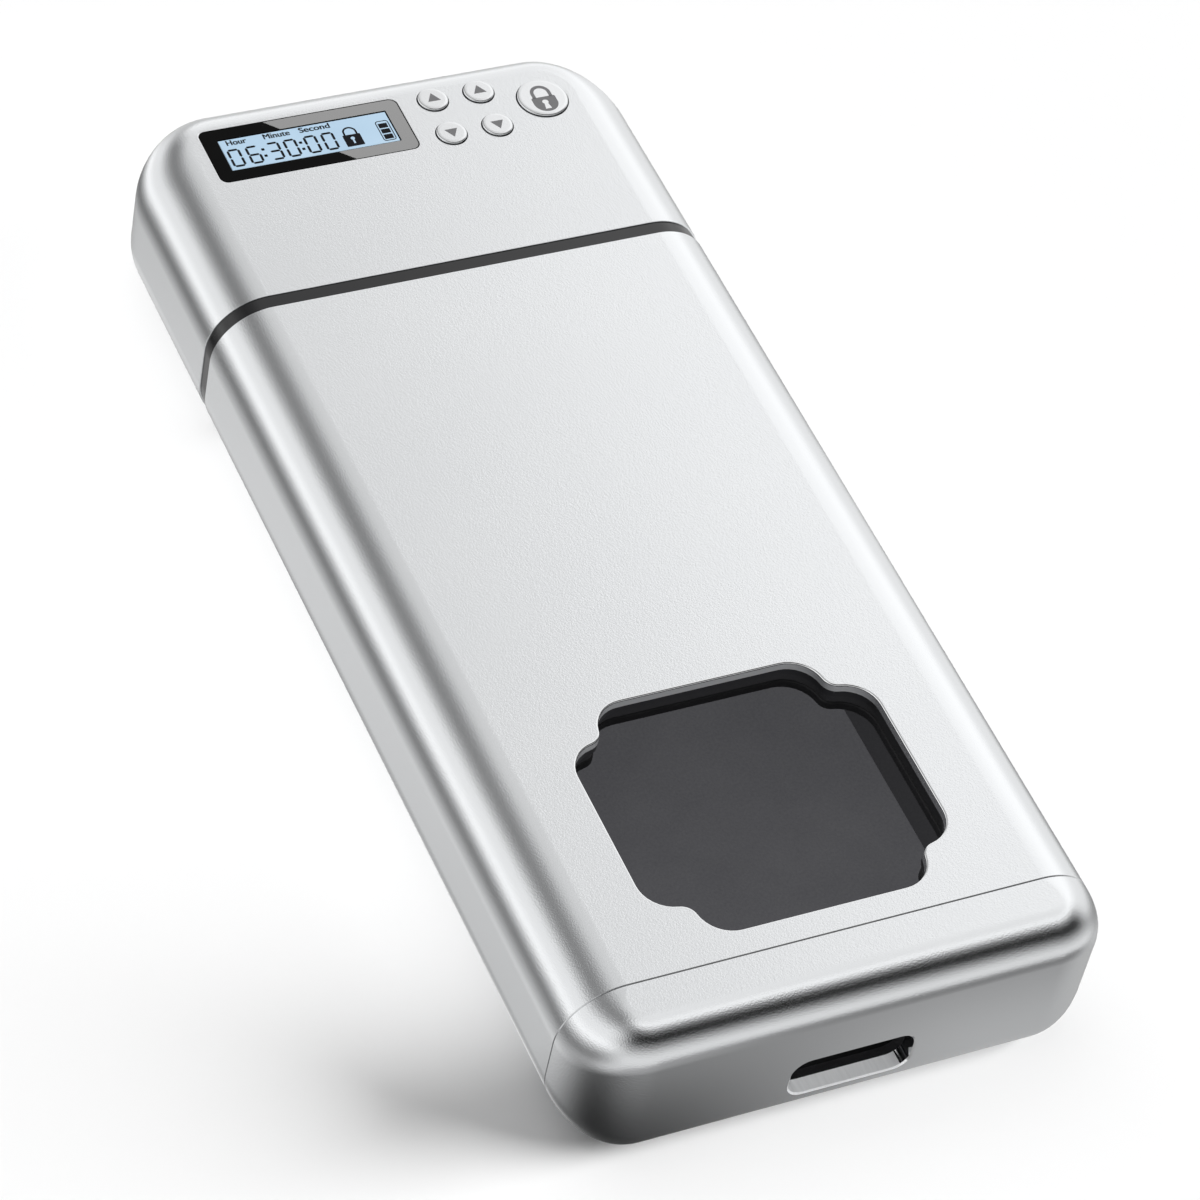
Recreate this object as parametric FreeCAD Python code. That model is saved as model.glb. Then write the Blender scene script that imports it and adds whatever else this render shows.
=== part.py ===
import FreeCAD, Part
import math
import os

# Timed lock container: an aluminium tube case for a phone with a window in its front, a fixed bottom cap,
# and a lid that pulls off the top end. The lid holds the clock, its buttons and a motor latch with two bolts.
# Frame: origin at the middle of the back face, +X right, +Y to the lid end, +Z out of the front. Millimetres.

# ---- Outer form ------------------------------------------------------------------------------------------
WIDTH = 100.0
LENGTH = 228.0
DEPTH = 31.5
SIDE_ROUND = 11.4        # long edges of the extruded section
END_ROUND = 7.0          # edges round both end faces
LID_CORNER = 17.5        # lid's corner radius seen from the front
CAP_LENGTH = 13.2
CAP_STRAIGHT = 0.4       # straight side of the cap between its seam and its corner
LID_LENGTH = 51.4
BAND_LENGTH = 2.8        # dark band between lid and case
BAND_RECESS = 0.3        # how far the band lies below the aluminium
WALL = 3.0
EDGE_BREAK = 0.25        # small chamfer on cut aluminium edges

# ---- Clearances ------------------------------------------------------------------------------------------
FIT = 0.1                # fixed pieces that fit in each other
PLUG_FIT = 0.4           # lid plug in the case's mouth
BUTTON_FIT = 0.15        # button in its hole
RUN_FIT = 0.05           # shaft or plunger in its bore
STOP_GAP = 0.3           # button flange below the wall
END_PLAY = 0.5           # bolts between deck and cover

# ---- Window in the front ---------------------------------------------------------------------------------
WINDOW_WIDTH = 57.4
WINDOW_LENGTH = 51.1
WINDOW_FROM_END = 18.3
LOBE_ROUND = 6.0         # round lobe at each side of a corner
LOBE_OFFSET = 13.4       # from the corner to the lobe's centre, along the edge
NOTCH_ROUND = 3.0        # hollow between a corner's two lobes
WINDOW_BREAK = 0.5       # chamfer round the window
LINER_SETBACK = 0.6      # liner's opening lies this far behind the window's edge
GASKET_SETBACK = 0.3
GASKET_MARGIN = 4.0
GASKET_THICKNESS = 2.0
GASKET_ROUND = 8.0

# ---- Charging slot in the bottom end ---------------------------------------------------------------------
SLOT_WIDTH = 23.1
SLOT_HEIGHT = 8.9
SLOT_ROUND = 3.3
SLOT_X = 0.6             # the slot's middle, right of the case's middle
SLOT_Z = 11.0
SLOT_BREAK = 0.3         # chamfer round the slot's mouth
SLOT_ROOM = 0.5          # room round the slot in the pad behind it

# ---- Inside of the case ----------------------------------------------------------------------------------
LINER_WALL = 2.0
LINER_BELOW_MOUTH = 0.5
SPIGOT_LENGTH = 2.5      # bottom cap's rim inside the tube
TONGUE_WIDTH = 60.0
TONGUE_LENGTH = 14.0
TONGUE_SCREW_X = 20.0
CAP_SCREW_BITE = 2.1      # how deep each kind of screw goes into the last piece it holds
CUSHION_THICKNESS = 2.0
BACK_PAD_THICKNESS = 1.5
BACK_PAD_WIDTH = 72.0
BACK_PAD_ROUND = 4.0
BACK_PAD_END_GAP = 4.0

# ---- Lid plug, latch and drive ---------------------------------------------------------------------------
PLUG_WALL = 2.0
COVER_THICKNESS = 1.5
COVER_SCREW_BITE = 4.5
LID_PAD_THICKNESS = 1.0
LID_PAD_MARGIN = 1.0
PLUG_RIM_BACK = 0.25     # plug's rim lies behind the pad's face
LID_SPIGOT_LENGTH = 5.0
BOLT_HEIGHT = 6.0
BOLT_THICKNESS = 5.0
BOLT_TRAVEL = 4.1
BOLT_TIP_BACK = 0.3      # retracted tip lies this far inside the plug's side
BOLT_TIP_CHAMFER = 0.4
BOLT_WINDOW_FIT = 0.15
BOLT_ROOT_X = 9.0        # start of the bolt's block at rest
RISER_WIDTH = 4.0
RACK_ARM_HEIGHT = 2.8
RACK_ARM_END = 8.0
RACK_FIRST_TOOTH = -4
RACK_LAST_TOOTH = 1
POCKET_EXTRA = 0.2       # pocket in the side wall is this much deeper than the bolt reaches
GUIDE_X = 22.0
GUIDE_WIDTH = 4.0
GUIDE_HEIGHT = 2.0
GEAR_MODULE = 0.6
PINION_TEETH = 12
PRESSURE_ANGLE = 20.0
ADDENDUM = 0.5
DEDENDUM = 0.65
TOOTH_THINNING = 0.07    # taken off each side of a tooth for backlash
SHAFT_RADIUS = 1.5
SHAFT_IN_GEARBOX = 5.5
SHAFT_BEYOND_PINION = 0.3
GEARBOX_WIDTH = 12.0
GEARBOX_HEIGHT = 10.0
GEARBOX_LENGTH = 9.0
MOTOR_RADIUS = 6.0
MOTOR_LENGTH = 15.0
MOTOR_BOSS_RADIUS = 2.5
MOTOR_BOSS_LENGTH = 1.2
TERMINAL_X = 3.8
TERMINAL_LENGTH = 3.6
TERMINAL_WIDTH = 1.6
TERMINAL_THICKNESS = 0.5
MOTOR_SCREW_X = 4.5
MOTOR_SCREW_BITE = 3.2
DECK_BORE_EXTRA = 1.0

# ---- Lid inside ------------------------------------------------------------------------------------------
CHASSIS_WIDTH = 76.0
CHASSIS_THICKNESS = 2.0
CHASSIS_LIFT = 2.4       # chassis floor above the lid's back wall
CHASSIS_END_GAP = 3.0
CHASSIS_ROUND = 8.0
FOOT_RADIUS = 3.0
FOOT_X = 30.0
FOOT_GAP = 2.0           # between a foot and the collar's spigot
CHASSIS_SCREW_X = 30.0
CHASSIS_BOSS_RADIUS = 3.2
CHASSIS_BOSS_LENGTH = 12.0
CHASSIS_BOSS_SINK = 0.5   # how far the round boss sinks into the floor
CHASSIS_SCREW_BITE = 9.0
CRADLE_WALL = 1.5
CRADLE_HEIGHT = 6.6
CRADLE_LENGTH = 12.0
PEDESTAL_WIDTH = 10.0
CLAMP_THICKNESS = 1.0
CLAMP_WIDTH = 6.0
CLAMP_FOOT = 4.5
CLAMP_SCREW_BITE = 1.8
COLLAR_SCREW_INSET = 10.5  # from the case's side
COLLAR_SCREW_BITE = 8.0
COLLAR_BOSS_RADIUS = 2.9
LID_BOSS_LENGTH = 11.5
LID_BOSS_HEIGHT = 7.5
LID_BOSS_WIDTH = 6.0
POST_INSET = 4.5         # screw posts from the bolt chamber's side wall
POST_FROM_MIDDLE = 5.75
POST_RADIUS = 2.2
BATTERY_WIDTH = 21.0
BATTERY_LENGTH = 29.0
BATTERY_THICKNESS = 6.0
BATTERY_X = 25.6
BATTERY_ROUND = 2.0
BATTERY_RIB = 1.2
BATTERY_RIB_HEIGHT = 3.0
BATTERY_END_GAP = 1.0
RIB_GAP = 2.0            # between the clamp and the battery's side rib
LEAD_RADIUS = 0.55
LEAD_PITCH = 4.0
LEAD_INSET = 2.2

# ---- Clock and keys --------------------------------------------------------------------------------------
ROW_FROM_END = 14.7      # middle of the display and of the keys, from the lid's end
BEZEL_WIDTH = 40.3
BEZEL_HEIGHT = 14.2
BEZEL_X = -16.25
BEZEL_RISE = 0.1         # middle of the display, above that of the keys
BEZEL_ROUND = 1.6
BEZEL_THICKNESS = 1.2
BEZEL_BELOW_FACE = 0.05
SCREEN_BELOW_BEZEL = 0.1
SCREEN_WIDTH = 34.0
SCREEN_HEIGHT = 8.3
SCREEN_LEDGE = 1.4       # how far the display glass reaches under the bezel
GLASS_THICKNESS = 1.9
BACKLIGHT_MARGIN = 0.6
PIN_COUNT = 12
PIN_RADIUS = 0.25
PIN_PITCH = 2.54
ARROW_X = 15.55
ARROW_PITCH_X = 9.5
ARROW_PITCH_Y = 9.5
ARROW_RADIUS = 2.95
LOCK_KEY_X = 31.7
LOCK_KEY_RADIUS = 4.95
KEY_PROUD = 0.5
KEY_CHAMFER = 0.35
FLANGE_EXTRA = 0.7
FLANGE_THICKNESS = 1.0
KEY_TRAVEL = 0.5
SWITCH_SIZE = 6.0
SWITCH_HEIGHT = 2.4
PLUNGER_RADIUS = 1.6
PLUNGER_DEPTH = 1.2
KEY_SPARE = 0.2          # left below a key's flange when it is pressed
BOARD_THICKNESS = 1.6
BOARD_SCREW_BITE = 3.5
BOARD_WIDTH = 82.0
BOARD_LENGTH = 19.8
BOARD_END_GAP = 2.2
BOARD_ROUND = 4.0
BOARD_BOSS_RADIUS = 2.25
BOARD_SIDE_BOSS_X = 37.4
BOARD_LOWER_BOSS_Y = -8.4
BOARD_UPPER_BOSS_Y = 1.4
SOCKET_WIDTH = 9.0
SOCKET_HEIGHT = 3.2
SOCKET_LENGTH = 8.6
SOCKET_WALL = 0.4
SOCKET_BACK = 0.5
SOCKET_BELOW_FACE = 0.6
TONGUE_PLATE_WIDTH = 6.6
TONGUE_PLATE_THICKNESS = 0.7
TONGUE_BACK = 1.0        # tongue ends this far inside the socket's mouth
BUZZER_RADIUS = 4.5
BUZZER_HEIGHT = 4.0
BUZZER_X = -25.0
# Parts on the board's inner face: X, Y from the keys' middle, width, length and height.
CONTROLLER = (-8.0, -2.0, 7.0, 7.0, 1.0)
MOTOR_DRIVER = (8.0, -4.0, 5.0, 4.0, 1.2)
CLOCK_CRYSTAL = (-15.5, 4.0, 3.2, 8.0, 1.6)

# ---- Screws: shank radius and head radius ----------------------------------------------------------------
SCREW_25 = (1.25, 2.3)
SCREW_20 = (1.0, 1.9)
SCREW_16 = (0.8, 1.4)
DRIVE_DEPTH = 0.6        # cross recess: depth, then width and reach as shares of the shank and the head
DRIVE_WIDTH = 0.45
DRIVE_REACH = 0.6

# ---- Places worked out from the sizes --------------------------------------------------------------------
HALF_WIDTH = WIDTH / 2
Y_TOP = LENGTH / 2
Y_BOTTOM = -LENGTH / 2
Y_CAP = Y_BOTTOM + CAP_LENGTH
Y_LID = Y_TOP - LID_LENGTH
Y_MOUTH = Y_LID - BAND_LENGTH
Z_MIDDLE = DEPTH / 2
CAP_CORNER = CAP_LENGTH - CAP_STRAIGHT
LINER_OUT = WALL + FIT
LINER_IN = LINER_OUT + LINER_WALL
PLUG_OUT = LINER_IN + PLUG_FIT
PLUG_IN = PLUG_OUT + PLUG_WALL
BOLT_Y1 = Y_MOUTH - END_PLAY
BOLT_Y0 = BOLT_Y1 - BOLT_THICKNESS
COVER_Y1 = BOLT_Y0 - END_PLAY
COVER_Y0 = COVER_Y1 - COVER_THICKNESS
LID_PAD_Y0 = COVER_Y0 - LID_PAD_THICKNESS
POST_X = HALF_WIDTH - PLUG_IN - POST_INSET
COLLAR_SCREW_X = HALF_WIDTH - COLLAR_SCREW_INSET
PLUG_END = LID_PAD_Y0 + PLUG_RIM_BACK
BOLT_Z0 = Z_MIDDLE - BOLT_HEIGHT / 2
BOLT_Z1 = Z_MIDDLE + BOLT_HEIGHT / 2
BOLT_TIP = HALF_WIDTH - PLUG_OUT - BOLT_TIP_BACK
PITCH_RADIUS = GEAR_MODULE * PINION_TEETH / 2
TOOTH_PITCH = math.pi * GEAR_MODULE
GEARBOX_Z0 = Z_MIDDLE - GEARBOX_HEIGHT / 2
GEARBOX_Y1 = Y_LID + GEARBOX_LENGTH
MOTOR_Y1 = GEARBOX_Y1 + MOTOR_LENGTH
CHASSIS_Z0 = WALL + CHASSIS_LIFT
CHASSIS_Z1 = CHASSIS_Z0 + CHASSIS_THICKNESS
CHASSIS_Y1 = Y_TOP - WALL - CHASSIS_END_GAP
CHASSIS_BOSS_Z = CHASSIS_Z1 + CHASSIS_BOSS_RADIUS - CHASSIS_BOSS_SINK
SPIGOT_Y1 = Y_LID + LID_SPIGOT_LENGTH
LID_INSIDE = DEPTH - WALL
FLANGE_Z1 = LID_INSIDE - STOP_GAP
FLANGE_Z0 = FLANGE_Z1 - FLANGE_THICKNESS
SWITCH_Z1 = FLANGE_Z0 - KEY_TRAVEL - KEY_SPARE
BOARD_Z1 = SWITCH_Z1 - SWITCH_HEIGHT
BOARD_Z0 = BOARD_Z1 - BOARD_THICKNESS
BOARD_Y1 = Y_TOP - WALL - BOARD_END_GAP
BOARD_Y0 = BOARD_Y1 - BOARD_LENGTH
ROW_Y = Y_TOP - ROW_FROM_END
BEZEL_Y = ROW_Y + BEZEL_RISE
BEZEL_Z0 = DEPTH - BEZEL_THICKNESS
GLASS_WIDTH = SCREEN_WIDTH + 2 * SCREEN_LEDGE
GLASS_HEIGHT = SCREEN_HEIGHT + 2 * SCREEN_LEDGE
BATTERY_Y0 = Y_LID + CHASSIS_BOSS_LENGTH + BATTERY_END_GAP
BATTERY_Z0 = CHASSIS_Z1
TINY = 0.01
PAST = 1.0               # how far a cut runs past the face it goes through
CORNER_PROFILES = 8      # steps round a corner's skin
MIN_ROUND = 0.5
PARALLEL_ANGLE = 2.5     # degrees within which an edge counts as along an axis
IN = FreeCAD.Vector(0, 1, 0)     # into the lid
OUT = FreeCAD.Vector(0, 0, 1)    # out of the front
BACK = FreeCAD.Vector(0, 0, -1)


# ---- Shape helpers ---------------------------------------------------------------------------------------
def vec(x, y, z):
    return FreeCAD.Vector(x, y, z)


def block(x0, x1, y0, y1, z0, z1):
    return Part.makeBox(x1 - x0, y1 - y0, z1 - z0, vec(x0, y0, z0))


def rod(radius, start, axis, length):
    return Part.makeCylinder(radius, length, start, axis)


def along(edge, axis):
    """True for a straight edge that runs along the axis."""
    if not isinstance(edge.Curve, Part.Line):
        return False
    return abs(edge.tangentAt(edge.FirstParameter).dot(axis)) > math.cos(math.radians(PARALLEL_ANGLE))


def flat_at(edge, axis, value):
    """True for an edge that lies in the plane where the axis (0, 1 or 2) has that value."""
    points = [edge.valueAt(edge.FirstParameter + share * (edge.LastParameter - edge.FirstParameter))
              for share in (0, 0.5, 1)]
    return all(abs(point[axis] - value) < TINY for point in points)


def rounded(solid, radius, axis):
    """The block with its four edges along an axis rounded."""
    return solid.makeFillet(radius, [e for e in solid.Edges if along(e, axis)])


def bar(inset, y0, y1):
    """The case's section, taken in by an inset on all sides, from one Y to another."""
    half = HALF_WIDTH - inset
    solid = block(-half, half, y0, y1, inset, DEPTH - inset)
    return rounded(solid, max(SIDE_ROUND - inset, MIN_ROUND), vec(0, 1, 0))


def plan_block(half_width, y0, y1, z0, z1, radius):
    """A plate lying flat with its four upright edges rounded."""
    return rounded(block(-half_width, half_width, y0, y1, z0, z1), radius, vec(0, 0, 1))


def end_block(inset, y_seam, y_end, corner):
    """The case's section closed by a rounded end. Its skin is drawn out of radial profiles round one upright
    corner, whose rounds go smoothly from the side's radius to the end's radius, and is then mirrored."""
    half = HALF_WIDTH - inset
    radius = corner - inset
    toward = math.copysign(1, y_end - y_seam)
    centre = vec(half - radius, y_end - toward * radius, 0)

    def profile(share):
        turn = share * math.pi / 2
        blend = share * share * (3 - 2 * share)
        edge_round = (1 - blend) * (SIDE_ROUND - inset) + blend * (END_ROUND - inset)
        out = vec(math.cos(turn), toward * math.sin(turn), 0)
        diagonal = math.sqrt(0.5) * edge_round
        wires = []
        for level, up in ((inset, 1), (DEPTH - inset, -1)):
            middle = centre + out * (radius - edge_round) + vec(0, 0, level + up * edge_round)
            flat = middle - vec(0, 0, up * edge_round)
            upright = middle + out * edge_round
            wires.append([flat, middle + out * diagonal - vec(0, 0, up * diagonal), upright])
        low, high = wires
        return Part.Wire([Part.Arc(*low).toShape(), Part.makeLine(low[2], high[2]),
                          Part.Arc(*reversed(high)).toShape()])

    profiles = [profile(number / CORNER_PROFILES) for number in range(CORNER_PROFILES + 1)]
    half_skin = Part.makeLoft(profiles, False, False).Faces
    half_skin += profiles[0].extrude(vec(0, y_seam - centre.y, 0)).Faces
    skin = half_skin + [face.mirror(vec(0, 0, 0), vec(1, 0, 0)) for face in half_skin]
    skin += profiles[-1].extrude(vec(-2 * centre.x, 0, 0)).Faces
    edges = [edge for face in skin for edge in face.Edges]
    at_side = half - (SIDE_ROUND - inset)
    levels = (inset, DEPTH - inset)
    closing = [Part.makeLine(vec(-at_side, y_seam, z), vec(at_side, y_seam, z)) for z in levels]

    def cap_face(rim):
        return Part.Face(Part.Wire(Part.sortEdges(rim)[0]))

    for line, z in zip(closing, levels):
        skin.append(cap_face([e for e in edges if flat_at(e, 2, z)] + [line]))
    skin.append(cap_face([e for e in edges if flat_at(e, 1, y_seam)] + closing))
    shell = Part.makeShell(skin)
    shell.sewShape()
    return Part.makeSolid(shell).removeSplitter()


def round_pocket(inset, y_seam, y_end, corner):
    """A plain cavity of the case's section with upright corners at its closed end."""
    half = HALF_WIDTH - inset
    plan = block(-half, half, min(y_seam, y_end), max(y_seam, y_end), 0, DEPTH)
    upright = [e for e in plan.Edges if along(e, vec(0, 0, 1)) and abs(e.Vertexes[0].Y - y_end) < TINY]
    plan = plan.makeFillet(corner, upright)
    return bar(inset, min(y_seam, y_end), max(y_seam, y_end)).common(plan)


def arc(start, centre, end):
    """The short arc round a centre."""
    radius = (start - centre).Length
    middle = (start - centre) + (end - centre)
    return Part.Arc(start, centre + middle.normalize() * radius, end).toShape()


def window_prism(grow, z0, z1):
    """The window's outline, grown outwards, between two heights. Each corner has two lobes and a notch."""
    half_x = WINDOW_WIDTH / 2 + grow
    y_low = Y_BOTTOM + WINDOW_FROM_END - grow
    y_high = Y_BOTTOM + WINDOW_FROM_END + WINDOW_LENGTH + grow
    lobe = LOBE_ROUND + grow
    offset = LOBE_OFFSET + grow
    notch = NOTCH_ROUND - grow
    half_gap = (offset - lobe) / math.sqrt(2)
    reach = math.sqrt((lobe + notch) ** 2 - half_gap ** 2)
    runs = []
    for side_x, y_edge, side_y in ((1, y_high, 1), (1, y_low, -1), (-1, y_low, -1), (-1, y_high, 1)):
        corner_x = side_x * half_x
        lobe_a = vec(corner_x - side_x * offset, y_edge - side_y * lobe, z0)
        lobe_b = vec(corner_x - side_x * lobe, y_edge - side_y * offset, z0)
        outward = vec(side_x, side_y, 0).normalize()
        hollow = (lobe_a + lobe_b) * 0.5 + outward * reach
        touch_a = lobe_a + (hollow - lobe_a) * (lobe / (lobe + notch))
        touch_b = lobe_b + (hollow - lobe_b) * (lobe / (lobe + notch))
        on_edge = vec(lobe_a.x, y_edge, z0)
        on_side = vec(corner_x, lobe_b.y, z0)
        run = [(on_edge, lobe_a, touch_a), (touch_a, hollow, touch_b), (touch_b, lobe_b, on_side)]
        if side_x * side_y < 0:
            run = [(c, b, a) for a, b, c in reversed(run)]
        runs.append(run)
    edges = []
    for place, run in enumerate(runs):
        edges += [arc(*piece) for piece in run]
        following = runs[(place + 1) % len(runs)]
        edges.append(Part.makeLine(run[-1][2], following[0][0]))
    return Part.Face(Part.Wire(edges)).extrude(vec(0, 0, z1 - z0))


def stadium(width, height, middle, y0, y1):
    """A slot with round ends, long in X, seen along Y."""
    radius = height / 2
    straight = width / 2 - radius
    core = block(middle.x - straight, middle.x + straight, y0, y1, middle.z - radius, middle.z + radius)
    ends = [rod(radius, vec(middle.x + side * straight, y0, middle.z), vec(0, 1, 0), y1 - y0)
            for side in (-1, 1)]
    return core.fuse(ends).removeSplitter()


def slot_prism(grow, y0, y1):
    """The charging slot's outline, grown on all sides, between two values of Y."""
    half_width = SLOT_WIDTH / 2 + grow
    half_height = SLOT_HEIGHT / 2 + grow
    prism = block(SLOT_X - half_width, SLOT_X + half_width, y0, y1, SLOT_Z - half_height, SLOT_Z + half_height)
    return rounded(prism, SLOT_ROUND + grow, vec(0, 1, 0))


def screw(size, head, axis, length, grow=0.0):
    """A countersunk screw: head point, direction it goes in, length. With grow it is the hole for one."""
    shank_radius, head_radius = size
    cone_height = head_radius - shank_radius
    cone = Part.makeCone(head_radius + grow, shank_radius + grow, cone_height, head, axis)
    shank = rod(shank_radius + grow, head, axis, length + grow)
    solid = cone.fuse(shank).removeSplitter()
    if grow:
        return solid
    across = axis.cross(vec(0, 0, 1)) if abs(axis.z) < 0.5 else vec(1, 0, 0)
    width = shank_radius * DRIVE_WIDTH
    reach = head_radius * DRIVE_REACH
    for direction in (across, axis.cross(across)):
        other = axis.cross(direction)
        low = head - direction * reach - other * (width / 2) - axis * TINY
        high = head + direction * reach + other * (width / 2) + axis * DRIVE_DEPTH
        spans = [sorted(pair) for pair in zip(low, high)]
        solid = solid.cut(block(*spans[0], *spans[1], *spans[2]))
    return solid


def screws(size, heads, axis, length):
    """Like screws as one group of separate solids."""
    return Part.makeCompound([screw(size, head, axis, length) for head in heads])


def holes(size, heads, axis, length):
    return [screw(size, head, axis, length, RUN_FIT) for head in heads]


def one_solid(shape):
    """The single solid of a boolean result."""
    return shape.removeSplitter().Solids[0]


def broken_edges(solid, y, size):
    """A small chamfer round the outside of a cut end at that Y."""
    ends = []
    for edge in solid.Edges:
        if abs(edge.BoundBox.YMin - y) < TINY and abs(edge.BoundBox.YMax - y) < TINY:
            ends.append(edge)
    widest = max(edge.BoundBox.XMax for edge in ends)
    outer = []
    for edge in ends:
        outside_x = abs(edge.BoundBox.XMax - widest) < TINY or abs(edge.BoundBox.XMin + widest) < TINY
        outside_z = edge.BoundBox.ZMin < TINY or edge.BoundBox.ZMax > DEPTH - TINY
        if outside_x or outside_z:
            outer.append(edge)
    return solid.makeChamfer(size, outer)


# ---- Case ------------------------------------------------------------------------------------------------
BOLT_POCKET_REACH = BOLT_TIP + BOLT_TRAVEL + POCKET_EXTRA


def bolt_passage(reach):
    """The room that both bolts pass through, out to a reach from the middle."""
    fit = BOLT_WINDOW_FIT
    return block(-reach, reach, BOLT_Y0 - fit, BOLT_Y1 + fit, BOLT_Z0 - fit, BOLT_Z1 + fit)


TONGUE_END = Y_CAP + SPIGOT_LENGTH + TONGUE_LENGTH
CAP_SCREW_HEADS = [vec(side * TONGUE_SCREW_X, TONGUE_END - TONGUE_LENGTH / 2, LINER_IN) for side in (-1, 1)]
CAP_SCREW_LENGTH = LINER_IN - WALL + CAP_SCREW_BITE


def body_shell():
    """Extruded tube with the window and the blind pockets that the bolts go into."""
    tube = bar(0, Y_CAP, Y_MOUTH)
    tube = broken_edges(broken_edges(tube, Y_CAP, EDGE_BREAK), Y_MOUTH, EDGE_BREAK)
    tube = tube.cut(bar(WALL, Y_CAP - PAST, Y_MOUTH + PAST))
    tube = tube.cut(window_prism(0, DEPTH - WALL - PAST, DEPTH + PAST))
    rim = []
    for edge in tube.Edges:
        inside = edge.BoundBox.YMin > Y_CAP + PAST and edge.BoundBox.YMax < Y_MOUTH - PAST
        if inside and edge.BoundBox.ZMin > DEPTH - TINY:
            rim.append(edge)
    tube = tube.makeChamfer(WINDOW_BREAK, rim)
    tube = tube.cut(bolt_passage(BOLT_POCKET_REACH))
    return one_solid(tube.cut(holes(SCREW_25, CAP_SCREW_HEADS, BACK, CAP_SCREW_LENGTH)))


def bottom_cap():
    """Machined cap: its rim goes into the tube, and its tongue is screwed to the tube's back wall."""
    cap = broken_edges(end_block(0, Y_CAP, Y_BOTTOM, CAP_CORNER), Y_CAP, EDGE_BREAK)
    rim = bar(LINER_OUT, Y_CAP - CAP_STRAIGHT, Y_CAP + SPIGOT_LENGTH)
    cap = cap.fuse(rim)
    rim_end = Y_CAP + SPIGOT_LENGTH
    cap = cap.cut(round_pocket(LINER_IN, rim_end + PAST, Y_BOTTOM + WALL, CAP_CORNER - LINER_IN))
    tongue = block(-TONGUE_WIDTH / 2, TONGUE_WIDTH / 2, Y_CAP, TONGUE_END, LINER_OUT, LINER_IN)
    cap = cap.fuse(tongue)
    cap = one_solid(cap).cut(slot_prism(0, Y_BOTTOM - PAST, Y_BOTTOM + WALL + PAST))
    rims = []
    for grow, y in ((SLOT_BREAK + PAST, Y_BOTTOM - PAST), (0, Y_BOTTOM + SLOT_BREAK)):
        edges = [edge for edge in slot_prism(grow, y, y + WALL).Edges if flat_at(edge, 1, y)]
        rims.append(Part.Wire(Part.sortEdges(edges)[0]))
    cap = cap.cut(Part.makeLoft(rims, True, True))
    return one_solid(cap.cut(holes(SCREW_25, CAP_SCREW_HEADS, BACK, CAP_SCREW_LENGTH)))


def cap_screws():
    return screws(SCREW_25, CAP_SCREW_HEADS, BACK, CAP_SCREW_LENGTH)


def inner_liner():
    """Black moulded sleeve that lines the tube."""
    y0 = Y_CAP + SPIGOT_LENGTH + FIT
    y1 = Y_MOUTH - LINER_BELOW_MOUTH
    sleeve = bar(LINER_OUT, y0, y1).cut(bar(LINER_IN, y0 - PAST, y1 + PAST))
    sleeve = sleeve.cut(window_prism(LINER_SETBACK, Z_MIDDLE, DEPTH))
    half = TONGUE_WIDTH / 2 + FIT
    sleeve = sleeve.cut(block(-half, half, y0 - PAST, TONGUE_END + FIT, 0, LINER_IN + PAST))
    return one_solid(sleeve.cut(bolt_passage(HALF_WIDTH)))


def window_gasket():
    """Soft black ring below the liner's opening, which keeps the phone's glass off the edge."""
    z1 = DEPTH - LINER_IN
    half = WINDOW_WIDTH / 2 + GASKET_MARGIN
    y_low = Y_BOTTOM + WINDOW_FROM_END - GASKET_MARGIN
    y_high = y_low + WINDOW_LENGTH + 2 * GASKET_MARGIN
    ring = plan_block(half, y_low, y_high, z1 - GASKET_THICKNESS, z1, GASKET_ROUND)
    return one_solid(ring.cut(window_prism(GASKET_SETBACK, z1 - GASKET_THICKNESS - PAST, z1 + PAST)))


def back_pad():
    """Foam sheet on the liner's back wall."""
    y0 = Y_CAP + SPIGOT_LENGTH + BACK_PAD_END_GAP
    y1 = LID_PAD_Y0 - BACK_PAD_END_GAP
    return plan_block(BACK_PAD_WIDTH / 2, y0, y1, LINER_IN, LINER_IN + BACK_PAD_THICKNESS, BACK_PAD_ROUND)


def end_cushion():
    """Foam pad in the bottom of the cap, open at the charging slot."""
    y0 = Y_BOTTOM + WALL
    y1 = y0 + CUSHION_THICKNESS
    pad = round_pocket(LINER_IN + FIT, Y_CAP, y0, CAP_CORNER - LINER_IN)
    pad = pad.common(block(-WIDTH, WIDTH, y0, y1, 0, DEPTH))
    return one_solid(pad.cut(slot_prism(SLOT_ROOM, y0 - PAST, y1 + PAST)))


# ---- Lid plug and latch ----------------------------------------------------------------------------------
COVER_SCREW_HEADS = [vec(side * POST_X, COVER_Y0, Z_MIDDLE + up * POST_FROM_MIDDLE)
                     for side in (-1, 1) for up in (-1, 1)]
COVER_SCREW_LENGTH = COVER_THICKNESS + COVER_SCREW_BITE
COLLAR_SCREW_HEADS = [vec(side * COLLAR_SCREW_X, Y_MOUTH, Z_MIDDLE) for side in (-1, 1)]
LID_BOSS_Y0 = SPIGOT_Y1 + FIT
COLLAR_SCREW_LENGTH = LID_BOSS_Y0 - Y_MOUTH + COLLAR_SCREW_BITE
CHASSIS_SCREW_HEADS = [vec(side * CHASSIS_SCREW_X, Y_MOUTH, CHASSIS_BOSS_Z) for side in (-1, 1)]
CHASSIS_SCREW_LENGTH = BAND_LENGTH + CHASSIS_SCREW_BITE
MOTOR_SCREW_HEADS = [vec(side * MOTOR_SCREW_X, Y_MOUTH, Z_MIDDLE) for side in (-1, 1)]
MOTOR_SCREW_LENGTH = BAND_LENGTH + MOTOR_SCREW_BITE


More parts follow.
